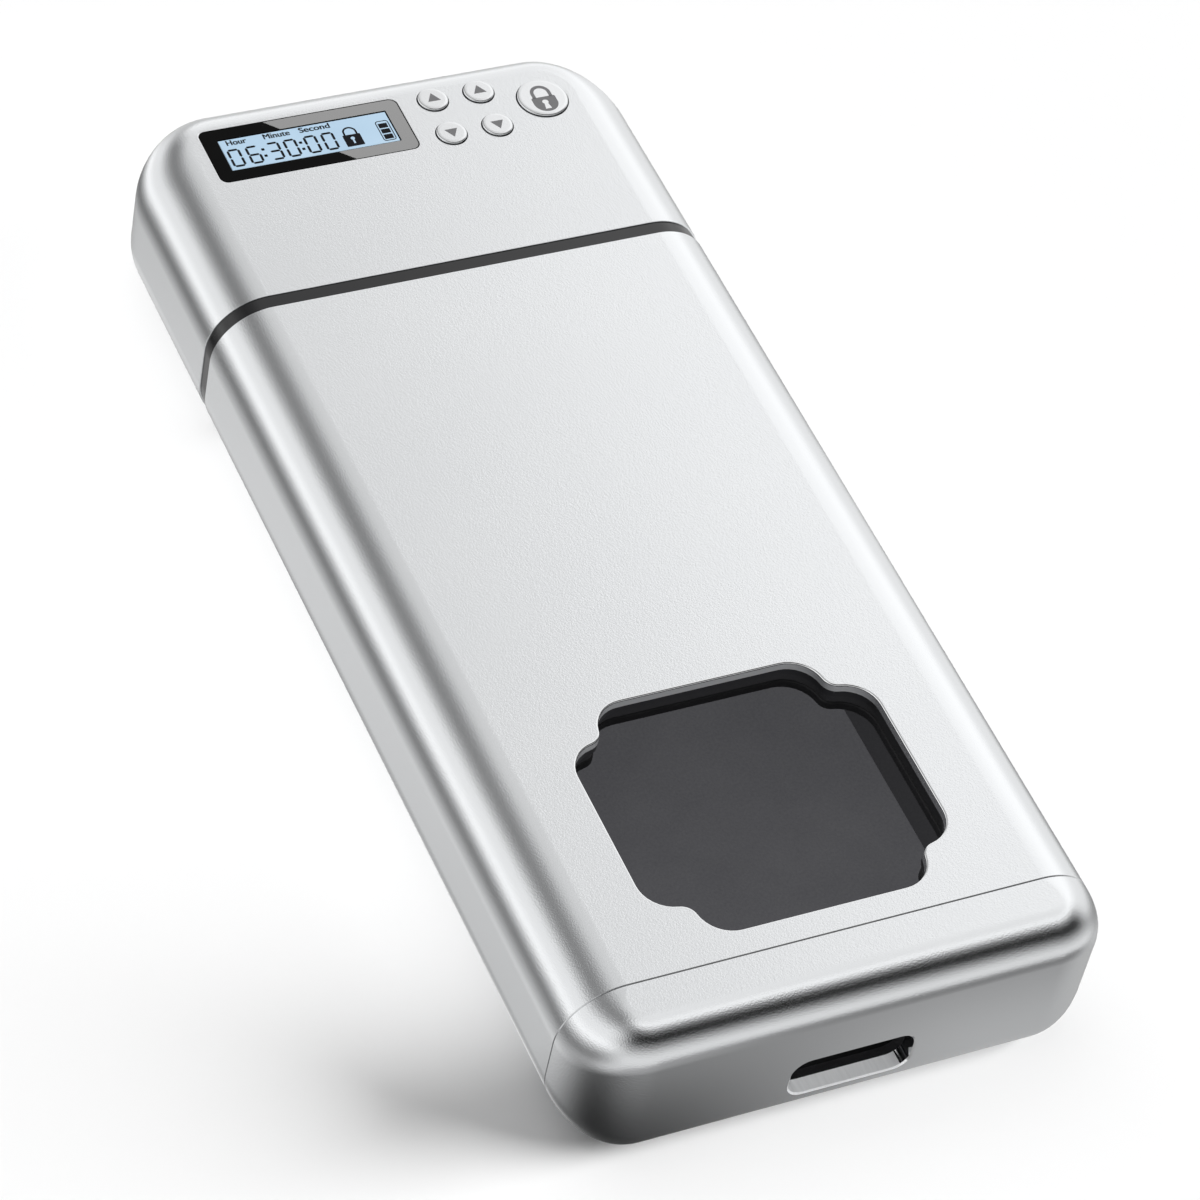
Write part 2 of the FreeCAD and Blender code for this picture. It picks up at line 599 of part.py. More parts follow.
def latch_collar():
    """Dark moulded piece: the band that shows, the plug with the bolt chamber, and the spigot in the lid."""
    collar = bar(BAND_RECESS, Y_MOUTH, Y_LID)
    collar = collar.fuse(bar(PLUG_OUT, PLUG_END, Y_MOUTH))
    collar = collar.fuse(bar(LINER_OUT, Y_LID, SPIGOT_Y1))
    collar = collar.cut(bar(PLUG_IN, PLUG_END - PAST, Y_MOUTH))
    collar = collar.cut(bar(LINER_IN, Y_LID, SPIGOT_Y1 + PAST))
    for head in COVER_SCREW_HEADS:
        collar = collar.fuse(rod(POST_RADIUS, vec(head.x, COVER_Y1, head.z), IN, Y_MOUTH - COVER_Y1))
    for head in COLLAR_SCREW_HEADS:
        collar = collar.fuse(rod(COLLAR_BOSS_RADIUS, vec(head.x, Y_LID, head.z), IN, LID_SPIGOT_LENGTH))
    for side in (-1, 1):
        middle = side * GUIDE_X
        for z0 in (BOLT_Z1 + BOLT_WINDOW_FIT, BOLT_Z0 - BOLT_WINDOW_FIT - GUIDE_HEIGHT):
            collar = collar.fuse(block(middle - GUIDE_WIDTH / 2, middle + GUIDE_WIDTH / 2,
                                       COVER_Y1 + END_PLAY, Y_MOUTH, z0, z0 + GUIDE_HEIGHT))
    collar = collar.cut(bolt_passage(HALF_WIDTH))
    bore_start = vec(0, Y_MOUTH - PAST, Z_MIDDLE)
    collar = collar.cut(rod(SHAFT_RADIUS + DECK_BORE_EXTRA, bore_start, IN, BAND_LENGTH + 2 * PAST))
    collar = collar.cut(holes(SCREW_20, COVER_SCREW_HEADS, IN, COVER_SCREW_LENGTH))
    collar = collar.cut(holes(SCREW_25, COLLAR_SCREW_HEADS, IN, COLLAR_SCREW_LENGTH))
    collar = collar.cut(holes(SCREW_25, CHASSIS_SCREW_HEADS, IN, CHASSIS_SCREW_LENGTH))
    collar = collar.cut(holes(SCREW_16, MOTOR_SCREW_HEADS, IN, MOTOR_SCREW_LENGTH))
    return one_solid(collar)


def latch_cover():
    """Plate that closes the bolt chamber."""
    plate = bar(PLUG_IN + FIT, COVER_Y0, COVER_Y1)
    return one_solid(plate.cut(holes(SCREW_20, COVER_SCREW_HEADS, IN, COVER_SCREW_LENGTH)))


def cover_screws():
    return screws(SCREW_20, COVER_SCREW_HEADS, IN, COVER_SCREW_LENGTH)


def lid_pad():
    """Foam that meets the phone's top end."""
    return bar(PLUG_IN + LID_PAD_MARGIN, LID_PAD_Y0, COVER_Y0)


def collar_screws():
    return screws(SCREW_25, COLLAR_SCREW_HEADS, IN, COLLAR_SCREW_LENGTH)


def chassis_screws():
    return screws(SCREW_25, CHASSIS_SCREW_HEADS, IN, CHASSIS_SCREW_LENGTH)


def motor_screws():
    return screws(SCREW_16, MOTOR_SCREW_HEADS, IN, MOTOR_SCREW_LENGTH)


def prism_xz(points, y0, y1):
    """An outline in X and Z, drawn out along Y."""
    corners = [vec(x, y0, z) for x, z in points]
    return Part.Face(Part.makePolygon(corners + corners[:1])).extrude(vec(0, y1 - y0, 0))


def right_bolt():
    """Steel bolt with a rack arm that runs over the pinion."""
    root_z = Z_MIDDLE + PITCH_RADIUS + DEDENDUM
    top_z = root_z + RACK_ARM_HEIGHT
    bolt = block(BOLT_ROOT_X, BOLT_TIP, BOLT_Y0, BOLT_Y1, BOLT_Z0, BOLT_Z1)
    tip = [e for e in bolt.Edges if e.BoundBox.XMin > BOLT_TIP - TINY]
    bolt = bolt.makeChamfer(BOLT_TIP_CHAMFER, tip)
    bolt = bolt.fuse(block(BOLT_ROOT_X, BOLT_ROOT_X + RISER_WIDTH, BOLT_Y0, BOLT_Y1, BOLT_Z0, top_z))
    bolt = bolt.fuse(block(-RACK_ARM_END, BOLT_ROOT_X + RISER_WIDTH, BOLT_Y0, BOLT_Y1, root_z, top_z))
    slope = math.tan(math.radians(PRESSURE_ANGLE))
    half = TOOTH_PITCH / 4 - TOOTH_THINNING
    wide = half + DEDENDUM * slope
    narrow = half - ADDENDUM * slope
    tip_z = Z_MIDDLE + PITCH_RADIUS - ADDENDUM
    for number in range(RACK_FIRST_TOOTH, RACK_LAST_TOOTH + 1):
        x = (number + 0.5) * TOOTH_PITCH
        outline = [(x - wide, root_z + TINY), (x + wide, root_z + TINY), (x + wide, root_z),
                   (x + narrow, tip_z), (x - narrow, tip_z), (x - wide, root_z)]
        bolt = bolt.fuse(prism_xz(outline, BOLT_Y0, BOLT_Y1))
    return one_solid(bolt)


def left_bolt():
    """The same bolt turned half round the shaft's axis."""
    bolt = right_bolt()
    bolt.rotate(vec(0, 0, Z_MIDDLE), vec(0, 1, 0), 180)
    return bolt


def drive_pinion():
    """Brass pinion with involute teeth, one of them pointing straight up at rest."""
    base_radius = PITCH_RADIUS * math.cos(math.radians(PRESSURE_ANGLE))
    tip_radius = PITCH_RADIUS + ADDENDUM
    root_radius = PITCH_RADIUS - DEDENDUM
    def involute(radius):
        ratio = max(radius / base_radius, 1.0)
        roll = math.sqrt(ratio ** 2 - 1)
        return roll - math.atan(roll)
    half_angle = (math.pi / PINION_TEETH / 2) - TOOTH_THINNING / PITCH_RADIUS
    steps = [root_radius, base_radius, PITCH_RADIUS, tip_radius]
    points = []
    for tooth in range(PINION_TEETH):
        middle = math.pi / 2 + tooth * 2 * math.pi / PINION_TEETH
        flank = [(r, half_angle + involute(PITCH_RADIUS) - involute(r)) for r in steps]
        for radius, turn in flank:
            points.append((radius * math.cos(middle - turn), radius * math.sin(middle - turn)))
        for radius, turn in reversed(flank):
            points.append((radius * math.cos(middle + turn), radius * math.sin(middle + turn)))
    outline = [(x, z + Z_MIDDLE) for x, z in points]
    gear = prism_xz(outline, BOLT_Y0, BOLT_Y1)
    bore = rod(SHAFT_RADIUS, vec(0, BOLT_Y0 - PAST, Z_MIDDLE), IN, BOLT_THICKNESS + 2 * PAST)
    return one_solid(gear.cut(bore))


SHAFT_Y0 = BOLT_Y0 - SHAFT_BEYOND_PINION
SHAFT_Y1 = Y_LID + SHAFT_IN_GEARBOX


def motor_shaft():
    return rod(SHAFT_RADIUS, vec(0, SHAFT_Y0, Z_MIDDLE), IN, SHAFT_Y1 - SHAFT_Y0)


def motor_gearbox():
    """Closed reduction gearbox between the motor and its output shaft."""
    half = GEARBOX_WIDTH / 2
    case = block(-half, half, Y_LID, GEARBOX_Y1, GEARBOX_Z0, GEARBOX_Z0 + GEARBOX_HEIGHT)
    case = case.cut(rod(SHAFT_RADIUS + RUN_FIT, vec(0, Y_LID - PAST, Z_MIDDLE), IN,
                        SHAFT_IN_GEARBOX + END_PLAY + PAST))
    return one_solid(case.cut(holes(SCREW_16, MOTOR_SCREW_HEADS, IN, MOTOR_SCREW_LENGTH)))


def latch_motor():
    """Flat-sided motor can with its rear boss and two terminals."""
    can = rod(MOTOR_RADIUS, vec(0, GEARBOX_Y1, Z_MIDDLE), IN, MOTOR_LENGTH)
    can = can.common(block(-MOTOR_RADIUS, MOTOR_RADIUS, GEARBOX_Y1, MOTOR_Y1,
                           GEARBOX_Z0, GEARBOX_Z0 + GEARBOX_HEIGHT))
    can = can.fuse(rod(MOTOR_BOSS_RADIUS, vec(0, MOTOR_Y1, Z_MIDDLE), IN, MOTOR_BOSS_LENGTH))
    for side in (-1, 1):
        middle = side * TERMINAL_X
        can = can.fuse(block(middle - TERMINAL_WIDTH / 2, middle + TERMINAL_WIDTH / 2, MOTOR_Y1,
                             MOTOR_Y1 + TERMINAL_LENGTH, Z_MIDDLE - TERMINAL_THICKNESS, Z_MIDDLE))
    return one_solid(can)


# ---- Chassis and power -----------------------------------------------------------------------------------
CLAMP_Y0 = GEARBOX_Y1 + (MOTOR_LENGTH - CLAMP_WIDTH) / 2
CLAMP_INNER = MOTOR_RADIUS + CRADLE_WALL + 2 * FIT
CLAMP_SCREW_X = CLAMP_INNER + CLAMP_THICKNESS + CLAMP_FOOT / 2
CLAMP_SCREW_HEADS = [vec(side * CLAMP_SCREW_X, CLAMP_Y0 + CLAMP_WIDTH / 2, CHASSIS_Z1 + CLAMP_THICKNESS)
                     for side in (-1, 1)]
CLAMP_SCREW_LENGTH = CLAMP_THICKNESS + CLAMP_SCREW_BITE


def lid_chassis():
    """Moulded floor that carries the motor and the battery, screwed to the collar."""
    half = CHASSIS_WIDTH / 2
    y0 = Y_LID + FIT
    floor = block(-half, half, y0, CHASSIS_Y1, CHASSIS_Z0, CHASSIS_Z1)
    far = [e for e in floor.Edges if along(e, vec(0, 0, 1)) and e.Vertexes[0].Y > CHASSIS_Y1 - TINY]
    floor = floor.makeFillet(CHASSIS_ROUND, far)
    for side in (-1, 1):
        for y in (SPIGOT_Y1 + FOOT_RADIUS + FOOT_GAP, CHASSIS_Y1 - CHASSIS_ROUND):
            floor = floor.fuse(rod(FOOT_RADIUS, vec(side * FOOT_X, y, WALL), OUT, CHASSIS_LIFT + TINY))
        inner = side * (MOTOR_RADIUS + FIT)
        outer = side * (MOTOR_RADIUS + FIT + CRADLE_WALL)
        rib_y0 = GEARBOX_Y1 + (MOTOR_LENGTH - CRADLE_LENGTH) / 2
        floor = floor.fuse(block(min(inner, outer), max(inner, outer), rib_y0, rib_y0 + CRADLE_LENGTH,
                                 CHASSIS_Z0, CHASSIS_Z1 + CRADLE_HEIGHT))
    for head in CHASSIS_SCREW_HEADS:
        floor = floor.fuse(rod(CHASSIS_BOSS_RADIUS, vec(head.x, y0, head.z), IN, CHASSIS_BOSS_LENGTH))
    floor = floor.fuse(block(-PEDESTAL_WIDTH / 2, PEDESTAL_WIDTH / 2, y0, MOTOR_Y1, CHASSIS_Z0, GEARBOX_Z0))
    low_x = BATTERY_X - BATTERY_WIDTH / 2 - FIT
    high_y = BATTERY_Y0 + BATTERY_LENGTH + FIT
    floor = floor.fuse(block(low_x - BATTERY_RIB, low_x, CLAMP_Y0 + CLAMP_WIDTH + RIB_GAP, high_y,
                             CHASSIS_Z0, CHASSIS_Z1 + BATTERY_RIB_HEIGHT))
    floor = floor.fuse(block(low_x - BATTERY_RIB, half - CHASSIS_ROUND, high_y, high_y + BATTERY_RIB,
                             CHASSIS_Z0, CHASSIS_Z1 + BATTERY_RIB_HEIGHT))
    floor = floor.cut(holes(SCREW_25, CHASSIS_SCREW_HEADS, IN, CHASSIS_SCREW_LENGTH))
    return one_solid(floor.cut(holes(SCREW_16, CLAMP_SCREW_HEADS, BACK, CLAMP_SCREW_LENGTH)))


def motor_clamp():
    """Steel strap over the motor, with a foot and a screw at each side."""
    y1 = CLAMP_Y0 + CLAMP_WIDTH
    top = GEARBOX_Z0 + GEARBOX_HEIGHT + FIT
    outer = CLAMP_INNER + CLAMP_THICKNESS
    strap = block(-outer, outer, CLAMP_Y0, y1, CHASSIS_Z1, top + CLAMP_THICKNESS)
    strap = strap.cut(block(-CLAMP_INNER, CLAMP_INNER, CLAMP_Y0 - PAST, y1 + PAST, CHASSIS_Z1 - PAST, top))
    for side in (-1, 1):
        near = side * CLAMP_INNER
        far = side * (outer + CLAMP_FOOT)
        strap = strap.fuse(block(min(near, far), max(near, far), CLAMP_Y0, y1,
                                 CHASSIS_Z1, CHASSIS_Z1 + CLAMP_THICKNESS))
    return one_solid(strap.cut(holes(SCREW_16, CLAMP_SCREW_HEADS, BACK, CLAMP_SCREW_LENGTH)))


def clamp_screws():
    return screws(SCREW_16, CLAMP_SCREW_HEADS, BACK, CLAMP_SCREW_LENGTH)


def battery_cell():
    """Flat rechargeable cell in its wrapper."""
    half = BATTERY_WIDTH / 2
    cell = block(BATTERY_X - half, BATTERY_X + half, BATTERY_Y0, BATTERY_Y0 + BATTERY_LENGTH,
                 BATTERY_Z0, BATTERY_Z0 + BATTERY_THICKNESS)
    return rounded(cell, BATTERY_ROUND, vec(0, 1, 0))


def battery_leads():
    """Two insulated wires from the cell up to the board."""
    z0 = BATTERY_Z0 + BATTERY_THICKNESS
    y = BATTERY_Y0 + BATTERY_LENGTH - LEAD_INSET
    wires = [rod(LEAD_RADIUS, vec(BATTERY_X + side * LEAD_PITCH / 2, y, z0), OUT, BOARD_Z0 - z0)
             for side in (-1, 1)]
    return Part.makeCompound(wires)


def motor_leads():
    """Two insulated wires from the motor's terminals up to the board."""
    y = MOTOR_Y1 + TERMINAL_LENGTH - TERMINAL_WIDTH / 2
    wires = [rod(LEAD_RADIUS, vec(side * TERMINAL_X, y, Z_MIDDLE), OUT, BOARD_Z0 - Z_MIDDLE)
             for side in (-1, 1)]
    return Part.makeCompound(wires)


# ---- Clock, keys and board -------------------------------------------------------------------------------
KEYS = {
    "hour_up": (ARROW_X - ARROW_PITCH_X / 2, ROW_Y + ARROW_PITCH_Y / 2, ARROW_RADIUS),
    "minute_up": (ARROW_X + ARROW_PITCH_X / 2, ROW_Y + ARROW_PITCH_Y / 2, ARROW_RADIUS),
    "hour_down": (ARROW_X - ARROW_PITCH_X / 2, ROW_Y - ARROW_PITCH_Y / 2, ARROW_RADIUS),
    "minute_down": (ARROW_X + ARROW_PITCH_X / 2, ROW_Y - ARROW_PITCH_Y / 2, ARROW_RADIUS),
    "lock": (LOCK_KEY_X, ROW_Y, LOCK_KEY_RADIUS),
}
BOARD_BOSSES = [(-BOARD_SIDE_BOSS_X, ROW_Y + BOARD_LOWER_BOSS_Y),
                (-BOARD_SIDE_BOSS_X, ROW_Y + BOARD_UPPER_BOSS_Y),
                (BOARD_SIDE_BOSS_X, ROW_Y + BOARD_LOWER_BOSS_Y),
                (ARROW_X, ROW_Y)]
BOARD_SCREW_LENGTH = BOARD_THICKNESS + BOARD_SCREW_BITE
SOCKET_MIDDLE = vec(0, 0, BOARD_Z0 - SOCKET_HEIGHT / 2 - RUN_FIT)
SOCKET_Y1 = Y_TOP - SOCKET_BELOW_FACE
SOCKET_Y0 = SOCKET_Y1 - SOCKET_LENGTH


def centred_plate(width, height, z0, z1, radius):
    """A plate round the display's middle."""
    plate = block(BEZEL_X - width / 2, BEZEL_X + width / 2, BEZEL_Y - height / 2, BEZEL_Y + height / 2, z0, z1)
    return rounded(plate, radius, OUT) if radius else plate


def lid_shell():
    """Machined lid with the display's recess, the key holes and the charging socket's hole."""
    lid = broken_edges(end_block(0, Y_LID, Y_TOP, LID_CORNER), Y_LID, EDGE_BREAK)
    lid = lid.cut(end_block(WALL, Y_LID - PAST, Y_TOP - WALL, LID_CORNER))
    for head in COLLAR_SCREW_HEADS:
        side = math.copysign(1, head.x)
        near = head.x - side * LID_BOSS_WIDTH / 2
        far = side * (HALF_WIDTH - WALL + EDGE_BREAK)
        lid = lid.fuse(block(min(near, far), max(near, far), LID_BOSS_Y0, LID_BOSS_Y0 + LID_BOSS_LENGTH,
                             Z_MIDDLE - LID_BOSS_HEIGHT / 2, Z_MIDDLE + LID_BOSS_HEIGHT / 2))
    for x, y in BOARD_BOSSES:
        lid = lid.fuse(rod(BOARD_BOSS_RADIUS, vec(x, y, BOARD_Z1), OUT, LID_INSIDE - BOARD_Z1 + EDGE_BREAK))
    lid = lid.cut(centred_plate(BEZEL_WIDTH, BEZEL_HEIGHT, BEZEL_Z0, DEPTH + PAST, BEZEL_ROUND))
    lid = lid.cut(centred_plate(GLASS_WIDTH + 2 * FIT, GLASS_HEIGHT + 2 * FIT, BOARD_Z1, DEPTH, 0))
    for x, y, radius in KEYS.values():
        lid = lid.cut(rod(radius + BUTTON_FIT, vec(x, y, LID_INSIDE - PAST), OUT, WALL + 2 * PAST))
    lid = lid.cut(stadium(SOCKET_WIDTH + 2 * FIT, SOCKET_HEIGHT + 2 * FIT, SOCKET_MIDDLE,
                          Y_TOP - WALL - PAST, Y_TOP + PAST))
    lid = lid.cut(holes(SCREW_25, COLLAR_SCREW_HEADS, IN, COLLAR_SCREW_LENGTH))
    return one_solid(lid.cut(board_screw_holes(RUN_FIT)))


def board_screw_holes(grow):
    return [rod(SCREW_20[0] + grow, vec(x, y, BOARD_Z0), OUT, BOARD_SCREW_LENGTH + grow)
            for x, y in BOARD_BOSSES]


def board_screws():
    """Pan-head screws that hold the board up to the lid's bosses."""
    shafts = board_screw_holes(0)
    heads = [rod(SCREW_20[1], vec(x, y, BOARD_Z0 - SCREW_20[0]), OUT, SCREW_20[0]) for x, y in BOARD_BOSSES]
    return Part.makeCompound([one_solid(a.fuse(b)) for a, b in zip(shafts, heads)])


def control_board():
    board = plan_block(BOARD_WIDTH / 2, BOARD_Y0, BOARD_Y1, BOARD_Z0, BOARD_Z1, BOARD_ROUND)
    return one_solid(board.cut(board_screw_holes(BUTTON_FIT)))


def board_chips():
    """Controller, motor driver and clock crystal on the board's inner face."""
    solids = []
    for x, from_row, width, length, height in (CONTROLLER, MOTOR_DRIVER, CLOCK_CRYSTAL):
        y = ROW_Y + from_row
        solids.append(block(x - width / 2, x + width / 2, y - length / 2, y + length / 2,
                            BOARD_Z0 - height, BOARD_Z0))
    return Part.makeCompound(solids)


def board_buzzer():
    """Round beeper under the board."""
    return rod(BUZZER_RADIUS, vec(BUZZER_X, ROW_Y, BOARD_Z0 - BUZZER_HEIGHT), OUT, BUZZER_HEIGHT)


def key_switches():
    """A push switch on the board under each key, bored for its plunger."""
    half = SWITCH_SIZE / 2
    solids = []
    for x, y, radius in KEYS.values():
        body = block(x - half, x + half, y - half, y + half, BOARD_Z1, SWITCH_Z1)
        depth = PLUNGER_DEPTH + KEY_TRAVEL + FIT
        body = body.cut(rod(PLUNGER_RADIUS + RUN_FIT, vec(x, y, SWITCH_Z1 - depth), OUT, depth + PAST))
        solids.append(one_solid(body))
    return Part.makeCompound(solids)


def key_cap(name):
    """Aluminium key with a flange that keeps it in the lid."""
    x, y, radius = KEYS[name]
    top = DEPTH + KEY_PROUD
    head = rod(radius, vec(x, y, FLANGE_Z1 - TINY), OUT, top - FLANGE_Z1 + TINY)
    rim = [e for e in head.Edges if e.BoundBox.ZMin > top - TINY]
    head = head.makeChamfer(KEY_CHAMFER, rim)
    return one_solid(head.fuse(rod(radius + FLANGE_EXTRA, vec(x, y, FLANGE_Z0), OUT, FLANGE_THICKNESS)))


def key_plunger(name):
    """The switch's plunger, which goes down with the key above it."""
    x, y, radius = KEYS[name]
    length = FLANGE_Z0 - SWITCH_Z1 + PLUNGER_DEPTH
    return rod(PLUNGER_RADIUS, vec(x, y, FLANGE_Z0 - length), OUT, length)


def display_bezel():
    """Black gloss frame round the display, let into the lid's face."""
    frame = centred_plate(BEZEL_WIDTH - 2 * FIT, BEZEL_HEIGHT - 2 * FIT, BEZEL_Z0, DEPTH - BEZEL_BELOW_FACE,
                          BEZEL_ROUND - FIT)
    return one_solid(frame.cut(centred_plate(SCREEN_WIDTH, SCREEN_HEIGHT, BEZEL_Z0 - PAST, DEPTH + PAST, 0)))


def lcd_panel():
    """Display glass: a wide lower sheet under the bezel and a raised part in its opening."""
    low = centred_plate(GLASS_WIDTH, GLASS_HEIGHT, BEZEL_Z0 - GLASS_THICKNESS, BEZEL_Z0, 0)
    high = centred_plate(SCREEN_WIDTH - 2 * RUN_FIT, SCREEN_HEIGHT - 2 * RUN_FIT, BEZEL_Z0 - GLASS_THICKNESS,
                         DEPTH - BEZEL_BELOW_FACE - SCREEN_BELOW_BEZEL, 0)
    return one_solid(low.fuse(high))


def lcd_backlight():
    """White light guide between the board and the display glass."""
    height = SCREEN_HEIGHT + 2 * BACKLIGHT_MARGIN
    return centred_plate(SCREEN_WIDTH + 2 * BACKLIGHT_MARGIN, height, BOARD_Z1, BEZEL_Z0 - GLASS_THICKNESS, 0)


def lcd_pins():
    """Row of pins from the board to the display glass."""
    y = BEZEL_Y + SCREEN_HEIGHT / 2 + (BACKLIGHT_MARGIN + SCREEN_LEDGE) / 2
    first = BEZEL_X - (PIN_COUNT - 1) * PIN_PITCH / 2
    pins = [rod(PIN_RADIUS, vec(first + number * PIN_PITCH, y, BOARD_Z1), OUT,
                BEZEL_Z0 - GLASS_THICKNESS - BOARD_Z1) for number in range(PIN_COUNT)]
    return Part.makeCompound(pins)


def charging_socket():
    """Steel shell of the lid's own charging socket."""
    shell = stadium(SOCKET_WIDTH, SOCKET_HEIGHT, SOCKET_MIDDLE, SOCKET_Y0, SOCKET_Y1)
    inner = stadium(SOCKET_WIDTH - 2 * SOCKET_WALL, SOCKET_HEIGHT - 2 * SOCKET_WALL, SOCKET_MIDDLE,
                    SOCKET_Y0 + SOCKET_BACK, SOCKET_Y1 + PAST)
    return one_solid(shell.cut(inner))


def socket_tongue():
    """Black contact tongue in the charging socket."""
    half_x = TONGUE_PLATE_WIDTH / 2
    half_z = TONGUE_PLATE_THICKNESS / 2
    z = SOCKET_MIDDLE.z
    return block(-half_x, half_x, SOCKET_Y0 + SOCKET_BACK, SOCKET_Y1 - TONGUE_BACK, z - half_z, z + half_z)


# ---- Every node and its maker ----------------------------------------------------------------------------
def nodes():
    made = {maker.__name__: maker() for maker in (
        body_shell, bottom_cap, cap_screws, inner_liner, window_gasket, back_pad, end_cushion,
        lid_shell, latch_collar, collar_screws, latch_cover, cover_screws, lid_pad,
        right_bolt, left_bolt, drive_pinion, motor_shaft, motor_gearbox, latch_motor, motor_screws,
        lid_chassis, chassis_screws, motor_clamp, clamp_screws, battery_cell, battery_leads, motor_leads,
        control_board, board_screws, board_chips, board_buzzer, key_switches,
        display_bezel, lcd_panel, lcd_backlight, lcd_pins, charging_socket, socket_tongue)}
    for name in KEYS:
        made[name + "_button"] = key_cap(name)
        made[name + "_plunger"] = key_plunger(name)
    return made


os.makedirs("parts", exist_ok=True)
for node, shape in nodes().items():
    bounds = shape.optimalBoundingBox(False)
    corners = (bounds.XMin, bounds.YMin, bounds.ZMin, bounds.XMax, bounds.YMax, bounds.ZMax)
    print(node, len(shape.Solids), shape.isValid(), round(shape.Volume, 1), [round(c, 2) for c in corners])
    shape.exportStep("parts/" + node + ".step")
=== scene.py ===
import math

import bmesh
import bpy
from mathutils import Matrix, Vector


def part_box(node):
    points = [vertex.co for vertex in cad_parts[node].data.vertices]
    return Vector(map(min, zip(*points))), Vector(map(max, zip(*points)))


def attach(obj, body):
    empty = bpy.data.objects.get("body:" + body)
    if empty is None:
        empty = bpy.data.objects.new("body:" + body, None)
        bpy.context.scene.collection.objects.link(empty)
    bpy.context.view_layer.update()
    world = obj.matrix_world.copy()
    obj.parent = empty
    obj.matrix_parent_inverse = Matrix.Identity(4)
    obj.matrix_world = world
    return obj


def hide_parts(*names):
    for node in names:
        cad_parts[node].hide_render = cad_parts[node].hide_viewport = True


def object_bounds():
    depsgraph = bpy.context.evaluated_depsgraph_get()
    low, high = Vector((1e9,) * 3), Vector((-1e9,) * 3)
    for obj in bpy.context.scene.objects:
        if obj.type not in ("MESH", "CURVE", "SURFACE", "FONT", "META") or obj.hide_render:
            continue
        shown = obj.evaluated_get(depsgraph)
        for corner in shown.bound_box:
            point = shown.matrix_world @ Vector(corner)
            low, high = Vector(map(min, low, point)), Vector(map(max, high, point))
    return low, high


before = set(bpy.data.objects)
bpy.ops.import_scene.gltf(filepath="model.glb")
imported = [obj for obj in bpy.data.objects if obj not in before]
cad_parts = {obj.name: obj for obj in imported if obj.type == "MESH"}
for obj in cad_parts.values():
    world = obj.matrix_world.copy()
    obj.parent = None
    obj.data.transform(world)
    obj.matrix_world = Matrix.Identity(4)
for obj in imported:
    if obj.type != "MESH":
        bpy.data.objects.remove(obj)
cad_low, cad_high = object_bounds()

# ---- Body shell --------------------------------------------------------------------------------------------
# The case's tube: an aluminium extrusion with rounded long edges, 3 mm thick, sawn to length. A window with
# notched corners is milled through its front, and a blind pocket for each bolt into its side walls. The
# outside is bead blasted and clear anodised, and the window's edge is polished afterwards.
WALL = 0.003
SIDE_ROUND = 0.0114
SEAM_BREAK = 0.00016
MOUTH_BREAK = 0.00025
WINDOW_WIDTH = 0.0574
WINDOW_LENGTH = 0.0511
WINDOW_FROM_END = 0.0183
LOBE_ROUND = 0.006
LOBE_OFFSET = 0.0134
NOTCH_ROUND = 0.003
WINDOW_BREAK = 0.0004
BARE_WALL = 0.0017
BOLT_HEIGHT = 0.006
BOLT_FIT = 0.00015
BOLT_REACH = 0.0485
ROUND_STEPS = 20
LOBE_STEPS = 8
TINY = 0.00002
PAST = 0.001
SQUARE = 0.1
LEVEL_FACE = 0.98


class Number:
    """A socket that carries a number. Arithmetic written with it adds the Math nodes that work it out."""

    def __init__(self, finish, socket):
        self.finish = finish
        self.socket = socket

    def join(self, operation, *values):
        node = self.finish.node("ShaderNodeMath", {"operation": operation}, dict(enumerate(values)))
        return Number(self.finish, node.outputs[0])

    def __add__(self, other):
        return self.join("ADD", self, other)

    def __sub__(self, other):
        return self.join("SUBTRACT", self, other)

    def __rsub__(self, other):
        return self.join("SUBTRACT", other, self)

    def __mul__(self, other):
        return self.join("MULTIPLY", self, other)

    def __truediv__(self, other):
        return self.join("DIVIDE", self, other)

    __radd__ = __add__
    __rmul__ = __mul__

    def step(self, low, high):
        """Goes smoothly from 0 at low to 1 at high."""
        node = self.finish.node("ShaderNodeMapRange", {"interpolation_type": "SMOOTHSTEP"},
                                {"Value": self, "From Min": low, "From Max": high})
        return Number(self.finish, node.outputs[0])


